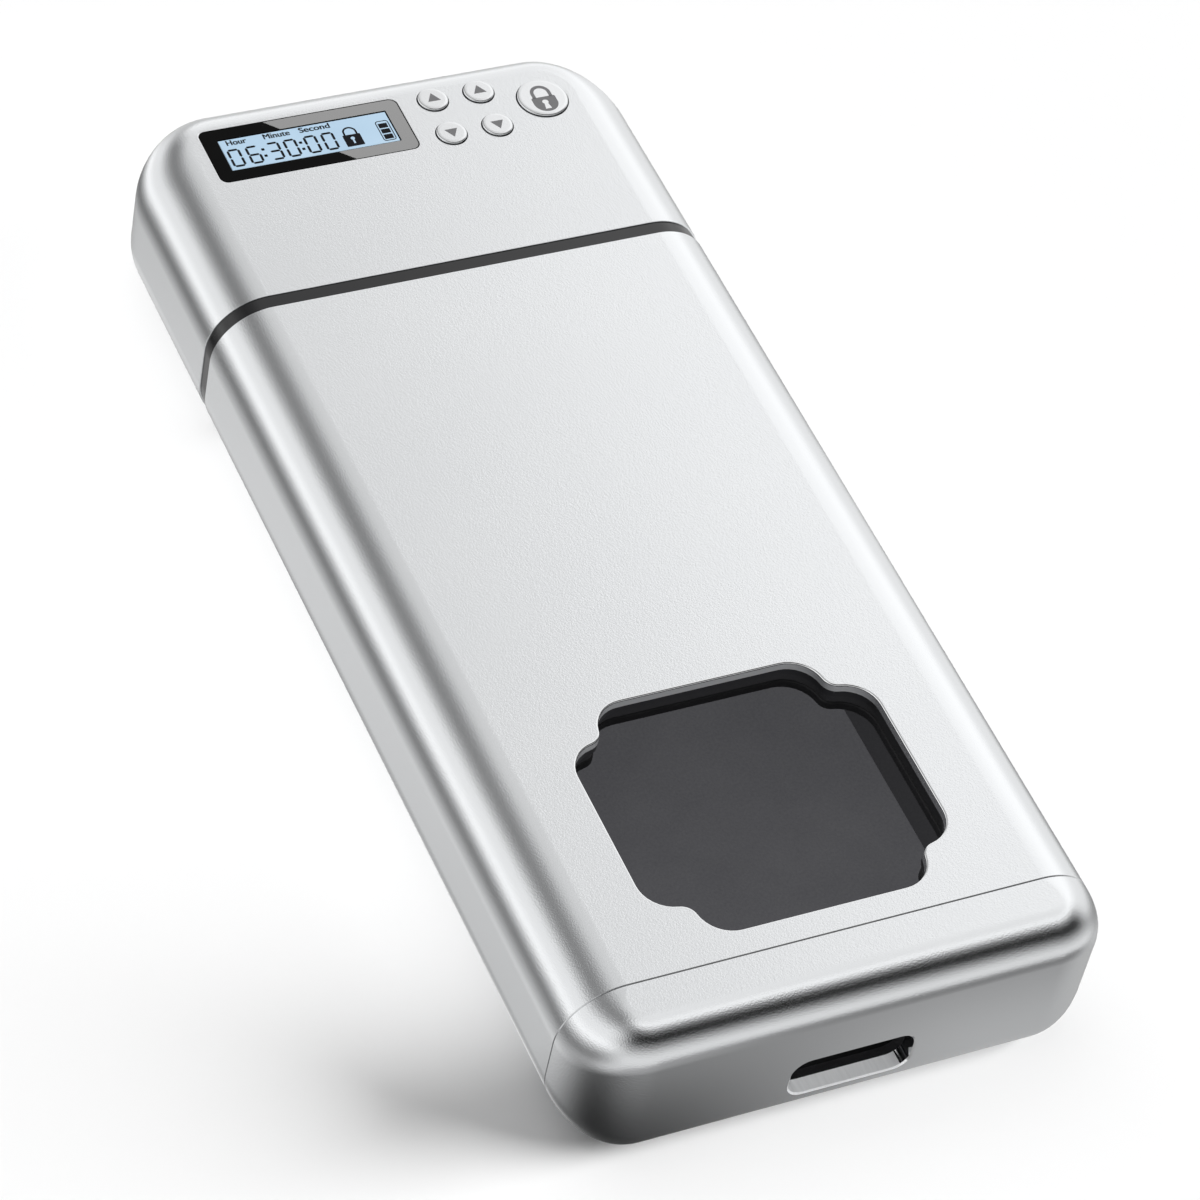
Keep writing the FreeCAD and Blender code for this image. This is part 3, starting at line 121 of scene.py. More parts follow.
class Finish:
    """A material, built from its shader's own values and the nodes that feed it."""

    def __init__(self, name, values, owner=None):
        self.owner = owner or bpy.data.materials.new(name)
        self.owner.use_nodes = True
        self.nodes = self.owner.node_tree.nodes
        self.shader = self.nodes.get("Principled BSDF")
        for socket, value in values.items():
            self.shader.inputs[socket].default_value = value

    def link(self, source, socket):
        source = source.socket if isinstance(source, Number) else source
        self.owner.node_tree.links.new(source, socket)

    def node(self, kind, settings, inputs):
        """One node with its settings, and the values or links of its sockets."""
        node = self.nodes.new(kind)
        for name, value in settings.items():
            if name == "stops":
                ramp = node.color_ramp.elements
                for position, colour in value[2:]:
                    ramp.new(position)
                for element, (position, colour) in zip(ramp, value):
                    element.position = position
                    element.color = (*colour, 1)
            else:
                setattr(node, name, value)
        for name, value in inputs.items():
            if isinstance(value, (Number, bpy.types.NodeSocket)):
                self.link(value, node.inputs[name])
            else:
                node.inputs[name].default_value = value
        return node

    def place(self, turn=(0, 0, 0), stretch=(1, 1, 1)):
        """The piece's own coordinates, in metres, turned and stretched for a pattern."""
        coordinates = self.node("ShaderNodeTexCoord", {}, {})
        mapping = self.node("ShaderNodeMapping", {}, {"Vector": coordinates.outputs["Object"],
                                                      "Rotation": turn, "Scale": stretch})
        return mapping.outputs[0]

    def position(self, scale=1.0):
        """The piece's own X, Y and Z as three numbers."""
        parts = self.node("ShaderNodeSeparateXYZ", {}, {0: self.place(stretch=(scale,) * 3)})
        return [Number(self, output) for output in parts.outputs]

    def noise(self, size, detail=2.0, **mapping):
        """Cloudy noise whose patches are about this many metres wide, from 0 to 1."""
        node = self.node("ShaderNodeTexNoise", {}, {"Vector": self.place(**mapping), "Scale": 1 / size,
                                                    "Detail": detail})
        return Number(self, node.outputs["Fac"])

    def tint(self, share, first, second):
        """A colour that goes from the first to the second as the share goes from 0 to 1."""
        node = self.node("ShaderNodeMix", {"data_type": "RGBA"},
                         {0: share, 6: (*first, 1), 7: (*second, 1)})
        return node.outputs[2]

    def feed(self, socket, value):
        self.link(value, self.shader.inputs[socket])

    def relief(self, height, depth):
        """Raises the surface by up to this many metres where the height is 1."""
        bump = self.node("ShaderNodeBump", {}, {"Height": height, "Distance": depth, "Strength": 1.0})
        self.feed("Normal", bump.outputs[0])


def grained(name, values, pattern, colours, spread, least, depth):
    """A finish whose colour, roughness and relief all follow one noise. Roughness starts at its least."""
    finish = Finish(name, values)
    grain = finish.noise(**pattern)
    finish.feed("Base Color", finish.tint(grain, *colours))
    finish.feed("Roughness", grain * spread + least)
    finish.relief(grain, depth)
    return finish


def pick(piece, kind, test):
    """In edit mode, selects the points, edges or faces that pass the test, and nothing else."""
    bpy.ops.mesh.select_mode(type=kind)
    bpy.ops.mesh.select_all(action="DESELECT")
    mesh = bmesh.from_edit_mesh(piece.data)
    for item in {"VERT": mesh.verts, "EDGE": mesh.edges, "FACE": mesh.faces}[kind]:
        item.select_set(test(item))
    mesh.select_flush_mode()
    bmesh.update_edit_mesh(piece.data)


def shaped(piece, kind, **settings):
    """Gives the piece a modifier with these settings and applies it."""
    modifier = piece.modifiers.new(kind.title(), kind)
    for name, value in settings.items():
        setattr(modifier, name, value)
    bpy.context.view_layer.objects.active = piece
    bpy.ops.object.modifier_apply(modifier=modifier.name)


def active_only(piece):
    bpy.ops.object.select_all(action="DESELECT")
    piece.select_set(True)
    bpy.context.view_layer.objects.active = piece


def cube(name, low, high):
    """A block between two corners, with its place in its mesh."""
    bpy.ops.object.select_all(action="DESELECT")
    low, high = Vector(low), Vector(high)
    bpy.ops.mesh.primitive_cube_add(size=1, location=(low + high) / 2, scale=high - low)
    bpy.ops.object.transform_apply(location=True, rotation=True, scale=True)
    piece = bpy.context.active_object
    piece.name = name
    return piece


def loft(name, rows, closed=False, ends=False):
    """A skin over rows of points: a grid primitive whose points are put in their places row by row."""
    rows = [row + row[:1] for row in rows] if closed else rows
    bpy.ops.object.select_all(action="DESELECT")
    bpy.ops.mesh.primitive_grid_add(x_subdivisions=len(rows[0]) - 1, y_subdivisions=len(rows) - 1)
    piece = bpy.context.active_object
    piece.name = name
    for vertex, point in zip(piece.data.vertices, [point for row in rows for point in row]):
        vertex.co = point
    bpy.ops.object.mode_set(mode="EDIT")
    bpy.ops.mesh.select_all(action="SELECT")
    bpy.ops.mesh.remove_doubles(threshold=TINY / 10)
    if ends:
        bpy.ops.mesh.fill_holes(sides=0)
    bpy.ops.mesh.select_all(action="SELECT")
    bpy.ops.mesh.normals_make_consistent(inside=False)
    bpy.ops.object.mode_set(mode="OBJECT")
    return piece


def cut(piece, *cutters):
    """Takes the cutters' shapes out of the piece."""
    for cutter in cutters:
        shaped(piece, "BOOLEAN", operation="DIFFERENCE", solver="EXACT", object=cutter)
        bpy.data.objects.remove(cutter)


def add(piece, *others):
    """Makes others part of the piece, as separate closed shells of the same mesh."""
    active_only(piece)
    for other in others:
        other.select_set(True)
    bpy.ops.object.join()


def bevelled(piece, width, segments, test):
    """Bevels the edges that pass the test."""
    active_only(piece)
    bpy.ops.object.mode_set(mode="EDIT")
    pick(piece, "EDGE", test)
    bpy.ops.mesh.bevel(offset=width, segments=segments, profile=0.5, affect="EDGES", clamp_overlap=False)
    bpy.ops.object.mode_set(mode="OBJECT")


def smoothed(piece, degrees=30):
    """Shades the piece smooth up to this angle and keeps its flat faces flat."""
    active_only(piece)
    bpy.ops.object.shade_smooth_by_angle(angle=math.radians(degrees))
    shaped(piece, "WEIGHTED_NORMAL", keep_sharp=True, weight=100)


def fitted(piece, body, finish, replaced=()):
    """Gives a finished piece its finish, its body, and the nodes that it stands for."""
    if not piece.data.materials:
        piece.data.materials.append(finish.owner)
    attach(piece, body)
    if replaced:
        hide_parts(*replaced)


def level(edge, axis, value):
    """True for an edge that lies at this value of X, Y or Z."""
    return all(abs(vertex.co[axis] - value) < TINY for vertex in edge.verts)


def at_rim(edge, axis, value):
    """True for an edge at this value where a flat face meets a wall that stands square to it."""
    return (level(edge, axis, value) and len(edge.link_faces) == 2
            and min(abs(face.normal[axis]) for face in edge.link_faces) < SQUARE)


def arc_points(start, centre, end, steps):
    """Points along the short arc from start to end, without the end."""
    first = math.atan2(start[1] - centre[1], start[0] - centre[0])
    turn = math.atan2(end[1] - centre[1], end[0] - centre[0]) - first
    turn = (turn + math.pi) % (2 * math.pi) - math.pi
    radius = math.dist(start, centre)
    angles = [first + turn * step / steps for step in range(steps)]
    return [(centre[0] + radius * math.cos(angle), centre[1] + radius * math.sin(angle)) for angle in angles]


def window_outline(grow):
    """The window's outline in X and Y, grown outwards. Each corner has two round lobes and a hollow notch."""
    half_x = WINDOW_WIDTH / 2 + grow
    low_y = cad_low.y + WINDOW_FROM_END - grow
    high_y = cad_low.y + WINDOW_FROM_END + WINDOW_LENGTH + grow
    lobe = LOBE_ROUND + grow
    offset = LOBE_OFFSET + grow
    notch = NOTCH_ROUND - grow
    half_gap = (offset - lobe) / math.sqrt(2)
    reach = math.sqrt((lobe + notch) ** 2 - half_gap ** 2)
    points = []
    for side_x, edge_y, side_y in ((1, high_y, 1), (1, low_y, -1), (-1, low_y, -1), (-1, high_y, 1)):
        lobe_a = Vector((side_x * (half_x - offset), edge_y - side_y * lobe))
        lobe_b = Vector((side_x * (half_x - lobe), edge_y - side_y * offset))
        hollow = (lobe_a + lobe_b) / 2 + Vector((side_x, side_y)).normalized() * reach
        touch_a = lobe_a.lerp(hollow, lobe / (lobe + notch))
        touch_b = lobe_b.lerp(hollow, lobe / (lobe + notch))
        on_edge = (lobe_a.x, edge_y)
        on_side = (side_x * half_x, lobe_b.y)
        run = [(on_edge, lobe_a, touch_a), (touch_a, hollow, touch_b), (touch_b, lobe_b, on_side)]
        if side_x * side_y < 0:
            run = [(end, centre, start) for start, centre, end in reversed(run)]
        for start, centre, end in run:
            points += arc_points(start, centre, end, LOBE_STEPS)
        points.append(tuple(run[-1][2]))
    return points


def window_cutter(grow, low_z, high_z):
    return loft("cutter", [[(x, y, z) for x, y in window_outline(grow)] for z in (low_z, high_z)],
                closed=True, ends=True)


shell_low, shell_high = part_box("body_shell")
half_width = shell_high.x
depth = shell_high.z
seam_y = shell_low.y
mouth_y = shell_high.y
body_shell = cube("case_tube", shell_low, shell_high)
bevelled(body_shell, SIDE_ROUND, ROUND_STEPS,
         lambda edge: abs(edge.verts[0].co.y - edge.verts[1].co.y) > depth)
active_only(body_shell)
bpy.ops.object.mode_set(mode="EDIT")
pick(body_shell, "FACE", lambda face: abs(face.normal.y) > LEVEL_FACE)
bpy.ops.mesh.delete(type="FACE")
bpy.ops.object.mode_set(mode="OBJECT")
shaped(body_shell, "SOLIDIFY", thickness=WALL, offset=-1, use_even_offset=True)
bevelled(body_shell, MOUTH_BREAK, 2, lambda edge: at_rim(edge, 1, mouth_y))
bevelled(body_shell, SEAM_BREAK, 1, lambda edge: at_rim(edge, 1, seam_y))
bolt_low, bolt_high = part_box("right_bolt")
pocket_low = (-BOLT_REACH, bolt_low.y - BOLT_FIT, (depth - BOLT_HEIGHT) / 2 - BOLT_FIT)
pocket_high = (BOLT_REACH, bolt_high.y + BOLT_FIT, (depth + BOLT_HEIGHT) / 2 + BOLT_FIT)
cut(body_shell, window_cutter(0, depth - 2 * WALL, depth + PAST), cube("cutter", pocket_low, pocket_high))
bevelled(body_shell, WINDOW_BREAK, 6, lambda edge: at_rim(edge, 2, depth))
smoothed(body_shell)

satin = Finish("satin_aluminium", {"Metallic": 1.0})
blasted = satin.noise(0.00028, detail=3.0)
cloudy = satin.noise(0.03)
satin.feed("Base Color", satin.tint(cloudy * 0.5 + blasted * 0.5, (0.755, 0.77, 0.785), (0.79, 0.80, 0.81)))
satin.feed("Roughness", blasted * 0.06 + cloudy * 0.02 + 0.15)
satin.relief(blasted, 0.00003)

polished = grained("polished_aluminium", {"Metallic": 1.0}, {"size": 0.0006, "stretch": (1, 1, 0.15)},
                   ((0.80, 0.81, 0.82), (0.88, 0.885, 0.89)), 0.06, 0.05, 0.000002)

window_wall = Finish("window_wall", {})
wall_z = window_wall.position()[2]
bare = wall_z.step(depth - BARE_WALL - TINY, depth - BARE_WALL + TINY)
window_wall.feed("Base Color", window_wall.tint(bare, (0.010, 0.010, 0.011), (0.72, 0.73, 0.74)))
window_wall.feed("Metallic", bare * 0.8)
window_wall.feed("Roughness", window_wall.noise(0.0005) * 0.1 + 0.3)
for finish in (satin, polished, window_wall):
    body_shell.data.materials.append(finish.owner)
past_window_y = cad_low.y + WINDOW_FROM_END + WINDOW_LENGTH + PAST
for face in body_shell.data.polygons:
    in_window = (abs(face.center.x) < WINDOW_WIDTH / 2 + WINDOW_BREAK and face.center.y < past_window_y
                 and face.center.z > depth - WALL - TINY and abs(face.normal.z) < LEVEL_FACE)
    face.material_index = in_window * (2 if abs(face.normal.z) < SQUARE else 1)
fitted(body_shell, "case", satin, ["body_shell"])

# ---- Bottom cap --------------------------------------------------------------------------------------------
# The case's foot: an aluminium cap machined from solid, with a rim and a tongue that go into the tube, and
# two screws through the tongue. Its long edges run on from the tube and tighten round its end. The charging
# slot's wall and edge are milled bright and its right end is polished. Its inside is coloured near black,
# painted shade for the dark seen through the slot.
END_ROUND = 0.007
CAP_CORNER = 0.0128
CORNER_STEPS = 18
SLOT_WIDTH = 0.0231
SLOT_HEIGHT = 0.0089
SLOT_ROUND = 0.0033
SLOT_X = 0.0006
SLOT_Z = 0.011
SLOT_BREAK = 0.0003
SPIGOT_LENGTH = 0.0025
TONGUE_WIDTH = 0.06
TONGUE_BREAK = 0.0003
SCREW_HOLE_RADIUS = 0.0013
FIT = 0.0001
LINER_WALL = 0.002
OUTER_SHARE = 0.85
SLOT_FACE = 0.99
RIGHT_END = -0.5


def end_skin(name, seam, end, corner):
    """The case's section closed by a rounded end. Round each corner the edge's radius goes smoothly from the
    side's to the end's."""
    toward = math.copysign(1, end - seam)
    stations = [(half_width, seam, 1.0, 0.0, SIDE_ROUND)]
    for step in range(CORNER_STEPS + 1):
        share = step / CORNER_STEPS
        turn = share * math.pi / 2
        blend = share * share * (3 - 2 * share)
        across, onward = math.cos(turn), toward * math.sin(turn)
        stations.append((half_width - corner + corner * across, end - toward * corner + corner * onward,
                         across, onward, SIDE_ROUND + (END_ROUND - SIDE_ROUND) * blend))
    stations += [(-x, y, -across, onward, edge) for x, y, across, onward, edge in reversed(stations)]
    turns = [step / ROUND_STEPS * math.pi / 2 for step in range(ROUND_STEPS + 1)]
    rows = []
    for x, y, across, onward, edge in stations:
        drops = [(edge * (1 - math.sin(turn)), edge * (1 - math.cos(turn))) for turn in turns]
        rows.append([(x - across * back, y - onward * back, depth - drop) for back, drop in drops]
                    + [(x - across * back, y - onward * back, drop) for back, drop in reversed(drops)])
    skin = loft(name, rows)
    bpy.ops.object.mode_set(mode="EDIT")
    for height in (0, depth):
        pick(skin, "VERT", lambda vertex: abs(vertex.co.z - height) < TINY / 10)
        bpy.ops.mesh.edge_face_add()
    bpy.ops.mesh.select_all(action="SELECT")
    bpy.ops.mesh.normals_make_consistent(inside=False)
    bpy.ops.object.mode_set(mode="OBJECT")
    return skin


def rounded_outline(low, high, radius, steps=8):
    """A rectangle's outline with round corners, anticlockwise in two axes."""
    centres = [(high[0] - radius, high[1] - radius, 0), (low[0] + radius, high[1] - radius, 1),
               (low[0] + radius, low[1] + radius, 2), (high[0] - radius, low[1] + radius, 3)]
    return [(x + radius * math.cos((quarter + step / steps) * math.pi / 2),
             y + radius * math.sin((quarter + step / steps) * math.pi / 2))
            for x, y, quarter in centres for step in range(steps + 1)]


def slot_outline(grow):
    """The charging slot's outline in X and Z, grown outwards."""
    reach_x, reach_z = SLOT_WIDTH / 2 + grow, SLOT_HEIGHT / 2 + grow
    return rounded_outline((SLOT_X - reach_x, SLOT_Z - reach_z), (SLOT_X + reach_x, SLOT_Z + reach_z),
                           SLOT_ROUND + grow)


def lengthwise(name, *rings):
    """A closed skin along Y, over outlines in X and Z that are each given after their Y."""
    return loft(name, [[(x, y, z) for x, z in outline] for y, outline in rings], closed=True, ends=True)


def section_block(name, inset, low_y, high_y):
    """The case's section, taken in on all sides, between two values of Y."""
    block = cube(name, (-half_width + inset, low_y, inset), (half_width - inset, high_y, depth - inset))
    bevelled(block, SIDE_ROUND - inset, ROUND_STEPS,
             lambda edge: abs(edge.verts[0].co.y - edge.verts[1].co.y) > TINY
             and abs(edge.verts[0].co.x - edge.verts[1].co.x) < TINY
             and abs(edge.verts[0].co.z - edge.verts[1].co.z) < TINY)
    return block


cap_end_y = cad_low.y
bottom_cap = end_skin("case_bottom_cap", seam_y, cap_end_y, CAP_CORNER)
shaped(bottom_cap, "SOLIDIFY", thickness=WALL, offset=-1, use_even_offset=True)
bevelled(bottom_cap, SEAM_BREAK, 1, lambda edge: at_rim(edge, 1, seam_y) and OUTER_SHARE < max(
    abs(edge.verts[0].co.x) / half_width, abs(edge.verts[0].co.z - depth / 2) * 2 / depth))
cut(bottom_cap, lengthwise("cutter", (cap_end_y - PAST, slot_outline(SLOT_BREAK)),
                           (cap_end_y, slot_outline(SLOT_BREAK)), (cap_end_y + SLOT_BREAK, slot_outline(0)),
                           (cap_end_y + 2 * WALL, slot_outline(0))))
spigot = section_block("spigot", WALL + FIT, seam_y - WALL / 2, seam_y + SPIGOT_LENGTH)
cut(spigot, section_block("cutter", WALL + FIT + LINER_WALL, seam_y - WALL, seam_y + 2 * SPIGOT_LENGTH))
tongue_low = (-TONGUE_WIDTH / 2, seam_y - WALL / 2, WALL + FIT)
tongue_high = (TONGUE_WIDTH / 2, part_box("bottom_cap")[1].y, WALL + FIT + LINER_WALL)
tongue = cube("tongue", tongue_low, tongue_high)
screw_low, screw_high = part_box("cap_screws")
for side in (-1, 1):
    screw_x = side * (screw_high.x - (screw_high.y - screw_low.y) / 2)
    screw_place = (screw_x, (screw_low.y + screw_high.y) / 2, WALL + LINER_WALL)
    bpy.ops.object.select_all(action="DESELECT")
    bpy.ops.mesh.primitive_cylinder_add(vertices=32, radius=SCREW_HOLE_RADIUS, depth=4 * LINER_WALL,
                                        location=screw_place)
    bpy.ops.object.transform_apply()
    cut(tongue, bpy.context.active_object)
shaped(tongue, "BEVEL", width=TONGUE_BREAK, segments=2, limit_method="ANGLE", angle_limit=math.radians(50))
add(bottom_cap, spigot, tongue)
smoothed(bottom_cap)
milled = grained("milled_aluminium", {"Metallic": 0.6}, {"size": 0.0005, "stretch": (1, 0.1, 1)},
                 ((0.68, 0.69, 0.70), (0.82, 0.83, 0.84)), 0.1, 0.3, 0.000003)
# The cap's inside, near black: painted shade for the dark inside seen through the charging slot.
painted_inside_shade = grained("painted_inside_shade", {"Specular IOR Level": 0.2}, {"size": 0.0005, "detail": 3.0},
                       ((0.008, 0.008, 0.009), (0.014, 0.014, 0.015)), 0.1, 0.6, 0.00001)
for finish in (satin, milled, painted_inside_shade, polished):
    bottom_cap.data.materials.append(finish.owner)
# Faces turned into the cap's inside take the near-black painted shade.
for face in bottom_cap.data.polygons:
    x, y, z = face.center
    in_mouth = (abs(x - SLOT_X) < SLOT_WIDTH / 2 + SLOT_BREAK
                and abs(z - SLOT_Z) < SLOT_HEIGHT / 2 + SLOT_BREAK
                and y < cap_end_y + WALL and abs(face.normal.y) < SLOT_FACE)
    middle = Vector((min(max(x, CAP_CORNER - half_width), half_width - CAP_CORNER),
                     max(y, cap_end_y + CAP_CORNER), depth / 2))
    inside = y > cap_end_y + WALL - TINY and y < seam_y and face.normal.dot(middle - face.center) > 0
    face.material_index = 2 if inside else in_mouth * (3 if face.normal.x < RIGHT_END else 1)
fitted(bottom_cap, "case", satin, ["bottom_cap"])

# ---- Lid shell ---------------------------------------------------------------------------------------------
# The lid's cover: aluminium machined from solid to the tube's section, with a wide corner radius at its
# end. Its face has a pocket for the display's bezel and five holes for the keys, and its end has the
# opening of the lid's own charging socket.
LID_CORNER = 0.0175
BEZEL_ROUND = 0.0016
BEZEL_FIT = 0.00005
BUTTON_FIT = 0.00015
HOLE_BREAK = 0.00015
KEY_NAMES = ("hour_up", "minute_up", "hour_down", "minute_down", "lock")
FLANGE_EXTRA = 0.0007


def stadium(width, height, middle_z, steps=12):
    """An upright slot's outline in X and Z, round at both ends."""
    radius = height / 2
    reach = width / 2 - radius
    turns = [math.pi * step / steps for step in range(steps + 1)]
    right = [(reach + radius * math.sin(turn), radius * math.cos(turn)) for turn in turns]
    return [(x, middle_z + z) for x, z in right + [(-x, -z) for x, z in right]]


def upright(name, outline, *heights):
    """A prism over an outline in X and Y, between two heights."""
    rows = [[(x, y, z) for x, y in outline] for z in heights]
    return loft(name, rows, closed=True, ends=True)


def circle(x, y, radius, steps=64):
    """A round outline in X and Y."""
    turns = [2 * math.pi * step / steps for step in range(steps)]
    return [(x + radius * math.cos(turn), y + radius * math.sin(turn)) for turn in turns]


lid_low, lid_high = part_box("lid_shell")
lid_shell = end_skin("lid_cover", lid_low.y, lid_high.y, LID_CORNER)
shaped(lid_shell, "SOLIDIFY", thickness=WALL, offset=-1, use_even_offset=True)
bevelled(lid_shell, MOUTH_BREAK, 2, lambda edge: at_rim(edge, 1, lid_low.y))
bezel_low, bezel_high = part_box("display_bezel")
panel_low, panel_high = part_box("lcd_panel")
pocket = rounded_outline((bezel_low.x - BEZEL_FIT, bezel_low.y - BEZEL_FIT),
                         (bezel_high.x + BEZEL_FIT, bezel_high.y + BEZEL_FIT), BEZEL_ROUND)
opening = rounded_outline((panel_low.x - BEZEL_FIT, panel_low.y - BEZEL_FIT),
                          (panel_high.x + BEZEL_FIT, panel_high.y + BEZEL_FIT), BEZEL_ROUND / 5)
cut(lid_shell, upright("cutter", pocket, bezel_low.z, depth + PAST),
    upright("cutter", opening, depth - 2 * WALL, depth))
key_boxes = {key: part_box(key + "_button") for key in KEY_NAMES}
key_places = {key: (low + high) / 2 for key, (low, high) in key_boxes.items()}
key_radii = {key: (high.x - low.x) / 2 - FLANGE_EXTRA for key, (low, high) in key_boxes.items()}
for key in KEY_NAMES:
    hole = circle(key_places[key].x, key_places[key].y, key_radii[key] + BUTTON_FIT)
    cut(lid_shell, upright("cutter", hole, depth - 2 * WALL, depth + PAST))
socket_low, socket_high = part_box("charging_socket")
socket_size = socket_high - socket_low
socket_outline = stadium(socket_size.x + 4 * BEZEL_FIT, socket_size.z + 4 * BEZEL_FIT,
                         (socket_low.z + socket_high.z) / 2)
cut(lid_shell, lengthwise("cutter", (lid_high.y - 2 * WALL, socket_outline),
                          (lid_high.y + PAST, socket_outline)))
bevelled(lid_shell, HOLE_BREAK, 2, lambda edge: at_rim(edge, 2, depth))
smoothed(lid_shell)
fitted(lid_shell, "lid", satin, ["lid_shell"])

# ---- Latch collar, the dark band ---------------------------------------------------------------------------
# One moulding of glossy black plastic. Its band shows between the lid and the case, its plug goes into the
# case's mouth with the bolts, and its spigot is screwed into the lid.


def dressed(finish, slot, *names):
    """Gives nodes of the frame their finish."""
    for name in names:
        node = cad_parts[name]
        node.data.materials.clear()
        node.data.materials.append(finish.owner)


gloss_black = grained("gloss_black_plastic", {"IOR": 1.5}, {"size": 0.004, "detail": 3.0},
                      ((0.010, 0.010, 0.011), (0.016, 0.016, 0.017)), 0.05, 0.06, 0.000004)
dressed(gloss_black, "gloss_black_plastic", "latch_collar")

# ---- Display bezel -----------------------------------------------------------------------------------------
# A frame of black gloss plastic, bonded into the pocket in the lid's face and flush with it. The display's
# glass shows through its opening.
SCREEN_LOW = (-0.03325, 0.09525)
SCREEN_HIGH = (0.00075, 0.10355)
BEZEL_BREAK = 0.00012

bezel_outline = rounded_outline((bezel_low.x, bezel_low.y), (bezel_high.x, bezel_high.y), BEZEL_ROUND)
bezel = upright("display_frame", bezel_outline, bezel_low.z, bezel_high.z)
screen_outline = rounded_outline(SCREEN_LOW, SCREEN_HIGH, BEZEL_BREAK)
cut(bezel, upright("cutter", screen_outline, bezel_low.z - PAST, bezel_high.z + PAST))
bevelled(bezel, BEZEL_BREAK, 2, lambda edge: at_rim(edge, 2, bezel_high.z))
smoothed(bezel, 15)
bezel_gloss = Finish("bezel_gloss", {"Specular IOR Level": 0.04})
smears = bezel_gloss.noise(0.005)
bezel_gloss.feed("Base Color", bezel_gloss.tint(smears, (0.0015, 0.0015, 0.0015), (0.003, 0.003, 0.003)))
bezel_gloss.feed("Roughness", smears * 0.004 + 0.003)
fitted(bezel, "lid", bezel_gloss, ["display_bezel"])

# ---- Display -----------------------------------------------------------------------------------------------
# A small glass display, lit evenly from behind in pale blue. Its segments, unit labels and the padlock and
# battery signs are dark shapes in the glass, shown a hair above it.
DIGIT_WIDTH = 0.0026
DIGIT_LOW_Y = 0.09598
DIGIT_HEIGHT = 0.0048
STROKE = 0.00049
SEGMENT_GAP = 0.00006
DIGIT_PLACES = ((-0.0326, "0"), (-0.02897, "6"), (-0.0248, "3"), (-0.0214, "0"), (-0.0173, "0"),
                (-0.0138, "0"))
COLON_X = (-0.02568, -0.01808)
COLON_HEIGHTS = (0.0976, 0.09933)
COLON_SIZE = 0.00062
SEGMENTS_LIT = {"0": "abcdef", "3": "abcdg", "6": "acdefg"}
LABELS = (("Hour", -0.0318, -0.0279), ("Minute", -0.0244, -0.0192), ("Second", -0.0172, -0.0111))
LABEL_Y = 0.10186
LABEL_SIZE = 0.00192
LABEL_STRIKES = ((0.00006, 0.00002, 0.000001), (-0.00006, 0.00002, 0.000002),
                 (0.00006, -0.00002, 0.000003), (-0.00006, -0.00002, 0.000004))
LOCK_SIGN_X = -0.00798
LOCK_SIGN_LOW = (LOCK_SIGN_X - 0.00176, 0.0960)
LOCK_SIGN_HIGH = (LOCK_SIGN_X + 0.00176, 0.09912)
LOCK_SIGN_ROUND = 0.00015
LOCK_SIGN_HOLE_Y = 0.0981
LOCK_SIGN_HOLE_RADIUS = 0.00042
LOCK_SIGN_SLIT = (0.0979, 0.00016, 0.0967, 0.0002)
LOCK_SIGN_SHACKLE = (0.00142, 0.00038, 0.00068)
BATTERY_LOW = (-0.0024, 0.0958)
BATTERY_HIGH = (0.00025, 0.10128)
BATTERY_ROUND = 0.0006
BATTERY_LINE = 0.00019
BAR_ENDS = (-0.00198, -0.00019)
BAR_HEIGHTS = ((0.09627, 0.09754), (0.09785, 0.09902), (0.09932, 0.10056))
BAR_ROUND = 0.0001
SCREEN_FIT = 0.0001
GLASS_BREAK = 0.00008
INK_LIFT = 0.00001
INK_TOP = 0.00002

ink_low = panel_high.z + INK_LIFT
ink_high = panel_high.z + INK_TOP


def ink(outline):
    return upright("ink", outline, ink_low, ink_high)


def segment(start, end):
    """One bar of a digit with pointed ends, from start to end."""
    start, end = Vector(start), Vector(end)
    along = (end - start).normalized()
    across = Vector((-along.y, along.x)) * STROKE / 2
    start += along * SEGMENT_GAP
    end -= along * SEGMENT_GAP
    taper = along * STROKE / 2
    return ink([tuple(point) for point in (start, start + taper - across, end - taper - across, end,
                                           end - taper + across, start + taper + across)])


def digit(left, figure):
    """A seven-segment figure."""
    x0, x1 = left + STROKE / 2, left + DIGIT_WIDTH - STROKE / 2
    y0, y1 = DIGIT_LOW_Y + STROKE / 2, DIGIT_LOW_Y + DIGIT_HEIGHT - STROKE / 2
    middle = (y0 + y1) / 2
    bars = {"a": ((x0, y1), (x1, y1)), "b": ((x1, middle), (x1, y1)), "c": ((x1, y0), (x1, middle)),
            "d": ((x0, y0), (x1, y0)), "e": ((x0, y0), (x0, middle)), "f": ((x0, middle), (x0, y1)),
            "g": ((x0, middle), (x1, middle))}
    return [segment(*bars[name]) for name in SEGMENTS_LIT[figure]]


def label(text, left, right):
    """A word set between two values of X, struck several times a hair apart, which makes it bold."""
    bpy.ops.object.select_all(action="DESELECT")
    bpy.ops.object.text_add()
    word = bpy.context.active_object
    word.data.body = text
    word.data.extrude = (INK_TOP - INK_LIFT) / 2 / LABEL_SIZE
    bpy.ops.object.convert(target="MESH")
    xs = [vertex.co.x for vertex in word.data.vertices]
    for vertex in word.data.vertices:
        vertex.co.x = left + (vertex.co.x - min(xs)) / (max(xs) - min(xs)) * (right - left)
        vertex.co.y = LABEL_Y + vertex.co.y * LABEL_SIZE
        vertex.co.z = (ink_low + ink_high) / 2 + vertex.co.z * LABEL_SIZE
    strikes = [word]
    for shift in LABEL_STRIKES:
        bpy.ops.object.duplicate(linked=False)
        strikes.append(bpy.context.active_object)
        for vertex, first in zip(strikes[-1].data.vertices, word.data.vertices):
            vertex.co = first.co + Vector(shift)
    return strikes


def ring_between(outer, inner, low_z, high_z):
    """A flat ring between two outlines of as many points."""
    rows = [[(x, y, z) for x, y in outline] for outline, z in
            ((outer, low_z), (outer, high_z), (inner, high_z), (inner, low_z), (outer, low_z))]
    return loft("ring", rows, closed=True)


